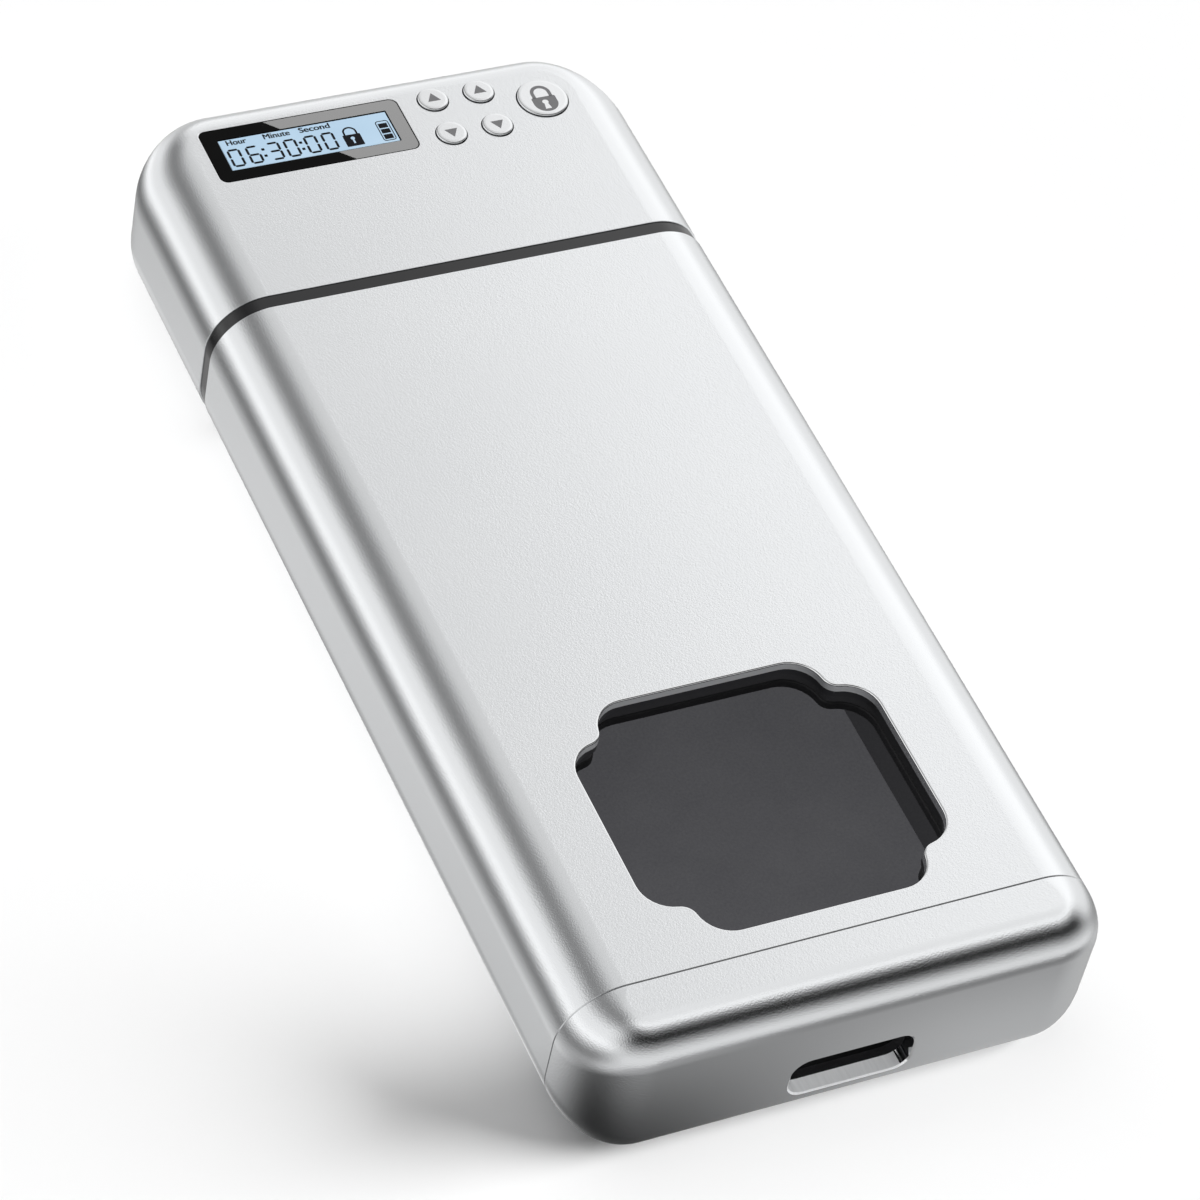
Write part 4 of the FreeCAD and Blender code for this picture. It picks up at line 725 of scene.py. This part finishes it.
def arch(x, low_y, outer_radius, stroke, leg, low_z, high_z, steps=24):
    """A padlock's shackle: a half ring on two straight legs."""
    turns = [math.pi * step / steps for step in range(steps + 1)]
    outline = []
    for radius, order in ((outer_radius, turns), (outer_radius - stroke, turns[::-1])):
        half = [(x + radius * math.cos(turn), low_y + leg + radius * math.sin(turn)) for turn in order]
        first, last = (half[0][0], low_y), (half[-1][0], low_y)
        outline += [first, *half, last]
    return upright("arch", outline, low_z, high_z)


def padlock(outline, hole, slit, shackle, low_z, high_z):
    """A padlock's sign: a body with a keyhole, which is a hole and a slit below it, and a shackle."""
    body = upright("padlock", outline, low_z, high_z)
    cut(body, *[upright("cutter", opening, low_z - PAST, high_z + PAST) for opening in (hole, slit)])
    return [body, arch(*shackle, low_z, high_z)]


def slit_outline(x, top_y, top_half, foot_y, foot_half):
    """A keyhole's slit, as an outline: its heights in Y, each with its half width there."""
    return [(x - top_half, top_y), (x - foot_half, foot_y), (x + foot_half, foot_y), (x + top_half, top_y)]


marks = []
for left, figure in DIGIT_PLACES:
    marks += digit(left, figure)
for x in COLON_X:
    for y in COLON_HEIGHTS:
        marks.append(ink(rounded_outline((x - COLON_SIZE / 2, y - COLON_SIZE / 2),
                                         (x + COLON_SIZE / 2, y + COLON_SIZE / 2), COLON_SIZE / 4)))
for text, left, right in LABELS:
    marks += label(text, left, right)
marks += padlock(rounded_outline(LOCK_SIGN_LOW, LOCK_SIGN_HIGH, LOCK_SIGN_ROUND),
                 circle(LOCK_SIGN_X, LOCK_SIGN_HOLE_Y, LOCK_SIGN_HOLE_RADIUS, 24),
                 slit_outline(LOCK_SIGN_X, *LOCK_SIGN_SLIT),
                 (LOCK_SIGN_X, LOCK_SIGN_HIGH[1] - TINY, *LOCK_SIGN_SHACKLE), ink_low, ink_high)
battery_case = rounded_outline(BATTERY_LOW, BATTERY_HIGH, BATTERY_ROUND)
battery_inside = rounded_outline((BATTERY_LOW[0] + BATTERY_LINE, BATTERY_LOW[1] + BATTERY_LINE),
                                 (BATTERY_HIGH[0] - BATTERY_LINE, BATTERY_HIGH[1] - BATTERY_LINE),
                                 BATTERY_ROUND - BATTERY_LINE)
marks.append(ring_between(battery_case, battery_inside, ink_low, ink_high))
for low_y, high_y in BAR_HEIGHTS:
    marks.append(ink(rounded_outline((BAR_ENDS[0], low_y), (BAR_ENDS[1], high_y), BAR_ROUND)))
display_marks = marks[0]
add(display_marks, *marks[1:])
display_marks.name = "display_marks"

dark_ink = Finish("display_ink", {"Roughness": 0.35, "Specular IOR Level": 0.1})
dark_ink.feed("Base Color", dark_ink.tint(dark_ink.noise(0.001), (0.0015, 0.0015, 0.003),
                                          (0.003, 0.0035, 0.006)))
fitted(display_marks, "lid", dark_ink)

panel = cube("display_glass", panel_low, (panel_high.x, panel_high.y, bezel_low.z))
raised = cube("raised", (SCREEN_LOW[0] + SCREEN_FIT, SCREEN_LOW[1] + SCREEN_FIT, panel_low.z),
              (SCREEN_HIGH[0] - SCREEN_FIT, SCREEN_HIGH[1] - SCREEN_FIT, panel_high.z))
shaped(panel, "BOOLEAN", operation="UNION", solver="EXACT", object=raised)
bpy.data.objects.remove(raised)
bevelled(panel, GLASS_BREAK, 2, lambda edge: level(edge, 2, panel_high.z))
smoothed(panel)
lit_glass = Finish("display_glass", {"Roughness": 0.1, "IOR": 1.5, "Emission Strength": 0.35})
glow = lit_glass.noise(0.012)
lit_glass.feed("Base Color", lit_glass.tint(glow, (0.24, 0.355, 0.47), (0.34, 0.46, 0.57)))
lit_glass.feed("Emission Color", lit_glass.tint(glow, (0.48, 0.66, 0.82), (0.56, 0.73, 0.88)))
fitted(panel, "lid", lit_glass, ["lcd_panel"])

# ---- Keys --------------------------------------------------------------------------------------------------
# Five turned aluminium keys with a flange below the lid's wall. Their faces are finely blasted, their rims
# are cut bright, and their signs are printed in grey.
KEY_CHAMFER = 0.00035
CHAMFER_STEPS = 5
FLANGE_THICKNESS = 0.001
SIGN_LIFT = 0.000005
SIGN_TOP = 0.00002
ARROW_WIDTH = 0.0026
ARROW_HEIGHT = 0.0022
ARROW_SHIFT = 0.00006
UP_SHIFT = 0.0004
DOWN_SHIFT = -0.00036
PADLOCK_WIDTH = 0.0049
PADLOCK_HEIGHT = 0.0040
PADLOCK_SHIFT = 0.00004
PADLOCK_ROUND = 0.0003
BELLY = 0.58
BELLY_STEPS = 24
KEYHOLE_DROP = 0.0014
KEYHOLE_RADIUS = 0.00062
SLIT_LENGTH = 0.0019
SLIT_HALVES = (0.0003, 0.00065)
SHACKLE_SINK = 0.0001
SHACKLE = (0.00205, 0.0007, 0.0012)

key_metal = grained("key_aluminium", {"Metallic": 1.0}, {"size": 0.0002, "detail": 3.0},
                    ((0.765, 0.775, 0.785), (0.80, 0.81, 0.82)), 0.06, 0.16, 0.000006)
grey_print = Finish("grey_print", {"Roughness": 0.5})
grey_print.feed("Base Color", grey_print.tint(grey_print.noise(0.0005), (0.135, 0.135, 0.14),
                                              (0.17, 0.17, 0.175)))


def turned(name, x, y, profile):
    """A turned piece: its profile, as radius and Z, spun round an upright axis."""
    rows = [[(px, py, z) for px, py in circle(x, y, radius)] for radius, z in profile]
    return loft(name, rows, closed=True, ends=True)


def padlock_body(x, top_y):
    """The lock key's padlock: two rounded shoulders over a half round belly."""
    half, height = PADLOCK_WIDTH / 2, PADLOCK_HEIGHT
    corners = rounded_outline((x - half, top_y - height), (x + half, top_y), PADLOCK_ROUND)
    shoulders = corners[:len(corners) // 2]
    turns = [math.pi * (step / BELLY_STEPS - 1) for step in range(BELLY_STEPS + 1)]
    return shoulders + [(x + half * math.cos(turn), top_y - height * (1 - BELLY - BELLY * math.sin(turn)))
                        for turn in turns]


for key in KEY_NAMES:
    low, high = key_boxes[key]
    x, y, radius = key_places[key].x, key_places[key].y, key_radii[key]
    flange_top = low.z + FLANGE_THICKNESS
    turns = [math.pi / 2 * step / CHAMFER_STEPS for step in range(CHAMFER_STEPS + 1)]
    rim = [(radius - KEY_CHAMFER * (1 - math.cos(turn)), high.z - KEY_CHAMFER * (1 - math.sin(turn)))
           for turn in turns]
    profile = [(radius + FLANGE_EXTRA, low.z), (radius + FLANGE_EXTRA, flange_top), (radius, flange_top),
               *rim, (radius - 2 * KEY_CHAMFER, high.z)]
    button = turned(key + "_key", x, y, profile)
    smoothed(button)
    sign_heights = (high.z + SIGN_LIFT, high.z + SIGN_TOP)
    if key == "lock":
        top_y = y + PADLOCK_SHIFT
        hole_y = top_y - KEYHOLE_DROP
        slit = slit_outline(x, hole_y, SLIT_HALVES[0], hole_y - SLIT_LENGTH, SLIT_HALVES[1])
        signs = padlock(padlock_body(x, top_y), circle(x, hole_y, KEYHOLE_RADIUS, 32), slit,
                        (x, top_y - SHACKLE_SINK, *SHACKLE), *sign_heights)
    else:
        up, shift = (1, UP_SHIFT) if "up" in key else (-1, DOWN_SHIFT)
        sign_x, rise = x + ARROW_SHIFT, up * ARROW_HEIGHT / 2
        foot_y, tip_y = y + shift - rise, y + shift + rise
        signs = [upright("sign", [(sign_x - ARROW_WIDTH / 2, foot_y), (sign_x + ARROW_WIDTH / 2, foot_y),
                                  (sign_x, tip_y)], *sign_heights)]
    button.data.materials.append(key_metal.owner)
    for sign in signs:
        sign.data.materials.append(grey_print.owner)
    add(button, *signs)
    fitted(button, key + "_key", key_metal, [key + "_button"])

# ---- Liner, gasket and foam in the case --------------------------------------------------------------------
# A moulded black liner keeps the phone off the metal. A soft silicone ring lies behind the window, a foam
# sheet on the back wall and a foam pad in the foot, all bonded in.
GASKET_SETBACK = 0.0003
GASKET_CORNER = 0.008
GASKET_BREAK = 0.0005
FOAM_EDGE = 0.0006
FOAM_FOOT = ((0.0, 0.4), (0.4, 0.0))
FOAM_CROWN = ((1.0, 0.0), (0.35, 0.3), (0.0, 1.0))
BACK_FOAM_CORNER = 0.004
END_FOAM_CORNER = 0.0062
LID_FOAM_CORNER = 0.0029
SLOT_ROOM = 0.0005

black_plastic = grained("black_plastic", {"IOR": 1.46}, {"size": 0.0004, "detail": 4.0},
                        ((0.020, 0.020, 0.022), (0.032, 0.032, 0.034)), 0.15, 0.42, 0.00002)
dressed(black_plastic, "black_plastic", "inner_liner", "latch_cover", "lid_chassis")

silicone = grained("black_silicone", {"IOR": 1.41}, {"size": 0.0009, "detail": 3.0},
                   ((0.016, 0.016, 0.018), (0.028, 0.028, 0.03)), 0.1, 0.5, 0.00001)
gasket_low, gasket_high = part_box("window_gasket")
gasket = cube("window_gasket_ring", gasket_low, gasket_high)
bevelled(gasket, GASKET_CORNER, 10, lambda edge: abs(edge.verts[0].co.z - edge.verts[1].co.z) > TINY)
cut(gasket, window_cutter(GASKET_SETBACK, gasket_low.z - PAST, gasket_high.z + PAST))
bevelled(gasket, GASKET_BREAK, 4,
         lambda edge: at_rim(edge, 2, gasket_high.z) or at_rim(edge, 2, gasket_low.z))
smoothed(gasket, 50)
fitted(gasket, "case", silicone, ["window_gasket"])

foam = Finish("grey_foam", {"Specular IOR Level": 0.25})
cells = foam.noise(0.0005, detail=5.0)
patches = foam.noise(0.012)
foam.feed("Base Color", foam.tint(cells * 0.6 + patches * 0.4, (0.045, 0.045, 0.05), (0.085, 0.085, 0.09)))
foam.feed("Roughness", cells * 0.1 + 0.85)
foam.relief(cells, 0.0001)


def foam_pad(name, outline, low, high, axis, replaced, body, openings=()):
    """A soft pad that lies on its low face across an axis, with its rims rounded over."""
    rims = [(low + FOAM_EDGE * rise, FOAM_EDGE * by) for rise, by in FOAM_FOOT]
    rims += [(high - FOAM_EDGE * drop, FOAM_EDGE * by) for drop, by in FOAM_CROWN]
    middle = Vector((sum(u for u, v in outline), sum(v for u, v in outline))) / len(outline)

    def drawn_in(point, by):
        offset = Vector(point) - middle
        return middle + offset * (1 - by / offset.length)

    rows = []
    for at, by in rims:
        around = [drawn_in(point, by) for point in outline]
        rows.append([(u, v, at) if axis == 2 else (u, at, v) for u, v in around])
    pad = loft(name, rows, closed=True, ends=True)
    cut(pad, *openings)
    smoothed(pad, 60)
    fitted(pad, body, foam, [replaced])
    return pad


back_low, back_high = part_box("back_pad")
back_outline = rounded_outline(back_low.xy, back_high.xy, BACK_FOAM_CORNER)
back_foam = foam_pad("back_foam", back_outline, back_low.z, back_high.z, 2, "back_pad", "case")
cushion_low, cushion_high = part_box("end_cushion")
cushion_outline = rounded_outline(cushion_low.xz, cushion_high.xz, END_FOAM_CORNER)
room = lengthwise("cutter", (cushion_low.y - PAST, slot_outline(SLOT_ROOM)),
                  (cushion_high.y + PAST, slot_outline(SLOT_ROOM)))
foam_pad("end_foam", cushion_outline, cushion_low.y, cushion_high.y, 1, "end_cushion", "case", [room])
lid_pad_low, lid_pad_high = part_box("lid_pad")
lid_pad_outline = rounded_outline(lid_pad_low.xz, lid_pad_high.xz, LID_FOAM_CORNER)
foam_pad("lid_foam", lid_pad_outline, lid_pad_low.y, lid_pad_high.y, 1, "lid_pad", "lid")

# ---- Screws, bolts, pinion and motor -----------------------------------------------------------------------
# Zinc-plated screws, two ground steel bolts, a brass pinion on the shaft of a gearmotor, and the strap
# that holds the motor on the chassis.
zinc = grained("zinc_steel", {"Metallic": 1.0}, {"size": 0.0008, "detail": 4.0},
               ((0.46, 0.47, 0.48), (0.60, 0.60, 0.59)), 0.2, 0.25, 0.000005)
dressed(zinc, "zinc_steel", "cap_screws", "collar_screws", "cover_screws", "motor_screws", "chassis_screws",
        "clamp_screws", "board_screws", "motor_clamp")

ground = grained("bolt_steel", {"Metallic": 1.0}, {"size": 0.0004, "detail": 3.0, "stretch": (0.06, 1, 1)},
                 ((0.50, 0.50, 0.51), (0.63, 0.63, 0.63)), 0.2, 0.2, 0.000004)
dressed(ground, "bolt_steel", "right_bolt", "left_bolt")

brass = grained("pinion_brass", {"Metallic": 1.0}, {"size": 0.0004, "detail": 3.0, "stretch": (1, 0.1, 1)},
                ((0.66, 0.47, 0.20), (0.78, 0.60, 0.30)), 0.15, 0.22, 0.000004)
dressed(brass, "pinion_brass", "drive_pinion")

motor_steel = grained("motor_steel", {"Metallic": 1.0}, {"size": 0.0012, "detail": 4.0},
                      ((0.48, 0.48, 0.47), (0.58, 0.58, 0.57)), 0.18, 0.26, 0.000006)
dressed(motor_steel, "motor_steel", "motor_gearbox", "latch_motor", "motor_shaft")

# ---- Cell, leads, board and its parts ----------------------------------------------------------------------
# A pouch cell in blue film, insulated leads, a green circuit board with its chips, beeper, push switches
# and light guide, and the lid's charging socket with its contact tongue.
film = grained("cell_wrap", {"IOR": 1.5}, {"size": 0.003, "detail": 4.0},
               ((0.05, 0.12, 0.34), (0.08, 0.17, 0.42)), 0.2, 0.2, 0.00006)
dressed(film, "cell_wrap", "battery_cell")

insulation = grained("lead_insulation", {"IOR": 1.5}, {"size": 0.0007},
                     ((0.42, 0.02, 0.02), (0.52, 0.035, 0.03)), 0.1, 0.35, 0.00001)
dressed(insulation, "lead_insulation", "battery_leads", "motor_leads")

mask = Finish("board_green", {"IOR": 1.5})
tracks = mask.noise(0.0011, detail=0.0, stretch=(1, 0.25, 1)).step(0.5, 0.54)
mask.feed("Base Color", mask.tint(tracks, (0.012, 0.12, 0.05), (0.03, 0.21, 0.09)))
mask.feed("Roughness", tracks * 0.08 + 0.28)
mask.relief(tracks, 0.00002)
dressed(mask, "board_green", "control_board")

guide = Finish("light_guide", {"IOR": 1.49})
milky = guide.noise(0.002)
guide.feed("Base Color", guide.tint(milky, (0.78, 0.80, 0.81), (0.86, 0.88, 0.89)))
guide.feed("Roughness", milky * 0.1 + 0.3)
dressed(guide, "light_guide", "lcd_backlight")
dressed(motor_steel, "motor_steel", "lcd_pins", "charging_socket")
dressed(black_plastic, "black_plastic", "board_chips", "board_buzzer", "key_switches", "socket_tongue",
        *[key + "_plunger" for key in KEY_NAMES])

# ---- Studio ------------------------------------------------------------------------------------------------
# A white floor with a low sun and a high sun of its own, a soft lamp overhead, and a small lamp each for the
# case's cut walls and its foam. A light tent that only reflections see gives the metal its bands: its levels
# go by how far, and to which side, a surface tips that mirrors them toward EYE.
FLOOR_SIZE = 8.0
FLOOR_DROP = 0.0002
FLOOR_COLOUR = (0.86, 0.86, 0.86)
FLOOR_GLOW = 0.02
ROOM_LEVEL = 0.14
TENT_RADIUS = 3.0
TENT_LEVEL = 1.6
TIPPING = (4 / 360, 10 / 360)
TIPPED_SHARPER = 1.6
FLAT_LEAN = 0.3
SIDE_LEAN = 1.2
SIDE_LEAN_FROM = (0.3, 0.9)
LEAN_MOST = 0.1
ALONG_SHARE = (0.25, 0.75)
CARD_LOW = (-0.110, -0.200)
CARD_HIGH = (0.110, -0.085)
CARD_FULL_LOW = (-0.050, -0.160)
CARD_FULL_HIGH = (0.080, -0.116)
CARD_ACROSS = (-0.050, 0.035)
CARD_NEARING = (-0.145, -0.117)
CARD_FAR_LEVELS = (0.41, 0.23)
CARD_NEAR_LEVELS = (0.03, 0.51)
LAMP_PLACE = (0.1, 0.15, 1.2)
LAMP_SIZE = 0.6
LAMP_POWER = 12.6
LOW_SUN_WAY = (-0.85, 0.34, -0.46)
LOW_SUN_WIDTH = 36
LOW_SUN_POWER = 5.3
HIGH_SUN_WAY = (0.12, -0.28, -0.95)
HIGH_SUN_WIDTH = 70
HIGH_SUN_POWER = 0.8
WALL_LAMP_PLACE = (0.06, -0.30, 0.17)
WALL_LAMP_SIZE = 0.05
WALL_LAMP_POWER = 0.95
FOAM_LAMP_PLACE = (0.02, -0.20, 0.45)
FOAM_LAMP_AIM = (0, -0.07, 0)
FOAM_LAMP_SIZE = 0.1
FOAM_LAMP_POWER = 2.3
GLARE_HEIGHT = 0.6383
GLARE_EDGE = ((0.2706, 0.7086), (0.2991, 0.6800))
GLARE_SIZE = 0.3
GLARE_POWER = 14.0
EYE = (-0.3726, -0.5803, 0.7245)
ACROSS_LEVELS = ((-180, 0.75), (-130, 1.10), (-115, 0.93), (-105, 0.34), (-97, 0.57), (-90, 0.83),
                 (-84, 0.60), (-77, 0.43), (-70, 0.14), (-63, 0.50), (-56, 1.35), (-49, 0.95), (-42, 1.03),
                 (-35, 0.49), (-28, 0.20), (-21, 0.34), (-14, 0.71), (-8, 0.76), (-4, 0.69), (-2, 0.66),
                 (0, 0.92), (2, 1.33), (4, 1.18), (8, 1.16), (14, 1.21), (21, 1.30), (28, 0.99),
                 (35, 0.95), (42, 0.92), (49, 0.52), (56, 0.33), (180, 0.32))
ALONG_LEVELS = ((-90, 0.48), (-80, 1.14), (-73, 0.80), (-66, 0.89), (-59, 0.68), (-52, 0.32), (-45, 0.02),
                (-38, 0.01), (-31, 0.26), (-24, 1.25), (-17, 0.89), (-10, 0.97), (-4, 0.89), (0, 1.00),
                (4, 1.20), (10, 1.02), (17, 1.09), (24, 1.22), (31, 0.67), (38, 0.64), (45, 0.71),
                (60, 0.51), (90, 1.00))

bpy.ops.object.select_all(action="DESELECT")
bpy.ops.mesh.primitive_plane_add(size=FLOOR_SIZE, location=(0, 0, -FLOOR_DROP))
bpy.ops.object.transform_apply()
floor = bpy.context.active_object
floor.name = "floor"
floor.visible_glossy = False
paper = Finish("floor_paper", {"Base Color": (*FLOOR_COLOUR, 1), "Roughness": 0.9, "Specular IOR Level": 0.0,
                               "Emission Strength": FLOOR_GLOW})


def seen_directly(finish):
    """1 for rays from the camera, a reflection or through glass, and 0 for light."""
    path = finish.node("ShaderNodeLightPath", {}, {})
    camera, glossy, through = (Number(finish, path.outputs[name]) for name in
                               ("Is Camera Ray", "Is Glossy Ray", "Is Transmission Ray"))
    return camera.join("MAXIMUM", camera, glossy.join("MAXIMUM", glossy, through))


paper.feed("Emission Color", paper.tint(seen_directly(paper), (0, 0, 0), (1, 1, 1)))
floor.data.materials.append(paper.owner)

world = bpy.data.worlds.new("room")
bpy.context.scene.world = world
room_light = Finish("room", {}, owner=world)
room_light.link(room_light.tint(seen_directly(room_light), (ROOM_LEVEL,) * 3, (1, 1, 1)),
                room_light.nodes["Background"].inputs["Color"])

bpy.ops.object.select_all(action="DESELECT")
bpy.ops.mesh.primitive_uv_sphere_add(segments=96, ring_count=48, radius=TENT_RADIUS)
tent = bpy.context.active_object
tent.name = "light_tent"
bpy.ops.object.shade_smooth()
cloth = Finish("tent_cloth", {})
half_x, half_y, half_z = [part + toward for part, toward in zip(cloth.position(1 / TENT_RADIUS), EYE)]
flat_square = half_x * half_x + half_y * half_y
flat = flat_square.join("SQRT", flat_square)
tip = flat.join("ARCTAN2", flat, half_z) * (0.5 / math.pi)
tipped = tip.step(*TIPPING)


def kept_between(value, low, high):
    """The value, but no less than low and no more than high."""
    return value.join("MAXIMUM", value.join("MINIMUM", value, high), low)


def tent_levels(part, other, levels, flat_lean, side_lean):
    """The level for a surface that tips toward the plus or minus side of this part, with the levels' borders
    leaning a little toward the other part."""
    share = part / flat
    beside = other / flat
    sharp = kept_between(share * TIPPED_SHARPER, -1, 1)
    side = kept_between(beside, -LEAN_MOST, LEAN_MOST) * side_lean
    lean = beside * flat_lean * (1 - tipped) + side * tipped
    place = tip * (share + (sharp - share) * tipped + lean) + 0.5
    stops = [(angle / 360 + 0.5, (level / TENT_LEVEL,) * 3) for angle, level in levels]
    return cloth.node("ShaderNodeValToRGB", {"stops": stops}, {0: place}).outputs[0]


right_lean = (half_x / flat).step(*SIDE_LEAN_FROM) * SIDE_LEAN
bands = cloth.node("ShaderNodeMix", {"data_type": "RGBA"},
                   {0: (half_y * half_y / flat_square).step(*ALONG_SHARE) * tipped,
                    6: tent_levels(half_x, half_y, ACROSS_LEVELS, FLAT_LEAN, right_lean),
                    7: tent_levels(half_y, half_x, ALONG_LEVELS, 0, 0)})
tent_glow = cloth.node("ShaderNodeEmission", {}, {"Color": bands.outputs[2], "Strength": TENT_LEVEL})
cloth.link(tent_glow.outputs[0], cloth.nodes["Material Output"].inputs["Surface"])
tent.data.materials.append(cloth.owner)

# A dark card lies on the floor before the foot, for reflections only, and fades out at its borders.
card = loft("foot_card", [[(x, y, -FLOOR_DROP / 2) for x in (CARD_LOW[0], CARD_HIGH[0])]
                          for y in (CARD_LOW[1], CARD_HIGH[1])])
felt = Finish("card_felt", {})
felt_x, felt_y = felt.position()[:2]
near = felt_y.step(*CARD_NEARING)
rightward = felt_x.step(*CARD_ACROSS)
far_level, near_level = [rightward * (right - left) + left
                         for left, right in (CARD_FAR_LEVELS, CARD_NEAR_LEVELS)]
card_level = near * (near_level - far_level) + far_level
card_glow = felt.node("ShaderNodeEmission", {}, {"Color": felt.tint(card_level, (0, 0, 0), (1, 1, 1))})
beyond = felt.node("ShaderNodeBsdfTransparent", {}, {})
shown = (felt_x.step(CARD_LOW[0], CARD_FULL_LOW[0]) * (1 - felt_x.step(CARD_FULL_HIGH[0], CARD_HIGH[0]))
         * felt_y.step(CARD_LOW[1], CARD_FULL_LOW[1]) * (1 - felt_y.step(CARD_FULL_HIGH[1], CARD_HIGH[1])))
felt_mix = felt.node("ShaderNodeMixShader", {}, {0: shown, 1: beyond.outputs[0], 2: card_glow.outputs[0]})
felt.link(felt_mix.outputs[0], felt.nodes["Material Output"].inputs["Surface"])
card.data.materials.append(felt.owner)
for piece in (tent, card):
    for ray in ("camera", "diffuse", "transmission", "volume_scatter", "shadow"):
        setattr(piece, "visible_" + ray, False)


def lamp(name, kind, place, aim, settings, shows=(), hides=(), shades=()):
    """A lamp that no reflection shows. It lights only the pieces in shows, or all but those in hides, and
    only the pieces in shades throw its shadow."""
    data = bpy.data.lights.new(name, kind)
    for setting, value in settings.items():
        setattr(data, setting, value)
    made = bpy.data.objects.new(name, data)
    made.location = place
    made.rotation_euler = (Vector(aim) - Vector(place)).to_track_quat("-Z", "Y").to_euler()
    made.visible_glossy = False
    made.visible_camera = False
    bpy.context.scene.collection.objects.link(made)
    for role, pieces, state in (("receiver", shows, "INCLUDE"), ("receiver", hides, "EXCLUDE"),
                                ("blocker", shades, "INCLUDE")):
        if pieces:
            group = bpy.data.collections.new(name + "_" + role)
            for piece in pieces:
                group.objects.link(piece)
            for entry in group.collection_objects:
                entry.light_linking.link_state = state
            setattr(made.light_linking, role + "_collection", group)
    return made


lamp("soft_lamp", "AREA", LAMP_PLACE, (0, 0, 0),
     {"shape": "DISK", "size": LAMP_SIZE, "energy": LAMP_POWER}, hides=[floor, back_foam])
lamp("low_sun", "SUN", (0, 0, 0), LOW_SUN_WAY,
     {"angle": math.radians(LOW_SUN_WIDTH), "energy": LOW_SUN_POWER}, shows=[floor], shades=[bottom_cap])
lamp("high_sun", "SUN", (0, 0, 0), HIGH_SUN_WAY,
     {"angle": math.radians(HIGH_SUN_WIDTH), "energy": HIGH_SUN_POWER}, shows=[floor])
lamp("wall_lamp", "AREA", WALL_LAMP_PLACE, (0, cap_end_y, SLOT_Z),
     {"size": WALL_LAMP_SIZE, "energy": WALL_LAMP_POWER}, shows=[bottom_cap, body_shell])
lamp("foam_lamp", "AREA", FOAM_LAMP_PLACE, FOAM_LAMP_AIM,
     {"size": FOAM_LAMP_SIZE, "energy": FOAM_LAMP_POWER},
     shows=[back_foam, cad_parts["inner_liner"]], shades=[floor])

# A lamp that only the bezel's gloss shows, with one straight edge across it.
edge_start, edge_end = Vector(GLARE_EDGE[0]), Vector(GLARE_EDGE[1])
edge_along = (edge_end - edge_start).normalized()
edge_away = Vector((-edge_along.y, edge_along.x))
edge_middle = (edge_start + edge_end) / 2 + edge_away * GLARE_SIZE / 2
glare = lamp("bezel_glare", "AREA", (*edge_middle, GLARE_HEIGHT), (*edge_middle, 0),
             {"shape": "SQUARE", "size": GLARE_SIZE, "energy": GLARE_POWER}, shows=[bezel])
glare.rotation_euler = (0, 0, math.atan2(edge_along.y, edge_along.x))
glare.visible_glossy = True

# ---- Camera ------------------------------------------------------------------------------------------------
# Looks down on the case from beyond its foot and to its left, through a long lens, so that the case's long
# edges draw together only a little.
CAMERA_PLACE = (-0.31786, -0.49497, 0.63830)
CAMERA_TURN = (42.1907, -8.7829, -23.5861)
LENS = 143.13
SENSOR = 36.0
NEAREST = 0.05
FARTHEST = 50.0

camera_data = bpy.data.cameras.new("camera")
camera_data.lens = LENS
camera_data.sensor_width = SENSOR
camera_data.clip_start = NEAREST
camera_data.clip_end = FARTHEST
camera = bpy.data.objects.new("camera", camera_data)
camera.location = CAMERA_PLACE
camera.rotation_euler = [math.radians(angle) for angle in CAMERA_TURN]
bpy.context.scene.collection.objects.link(camera)
bpy.context.scene.camera = camera
bpy.context.scene.view_settings.view_transform = "Standard"
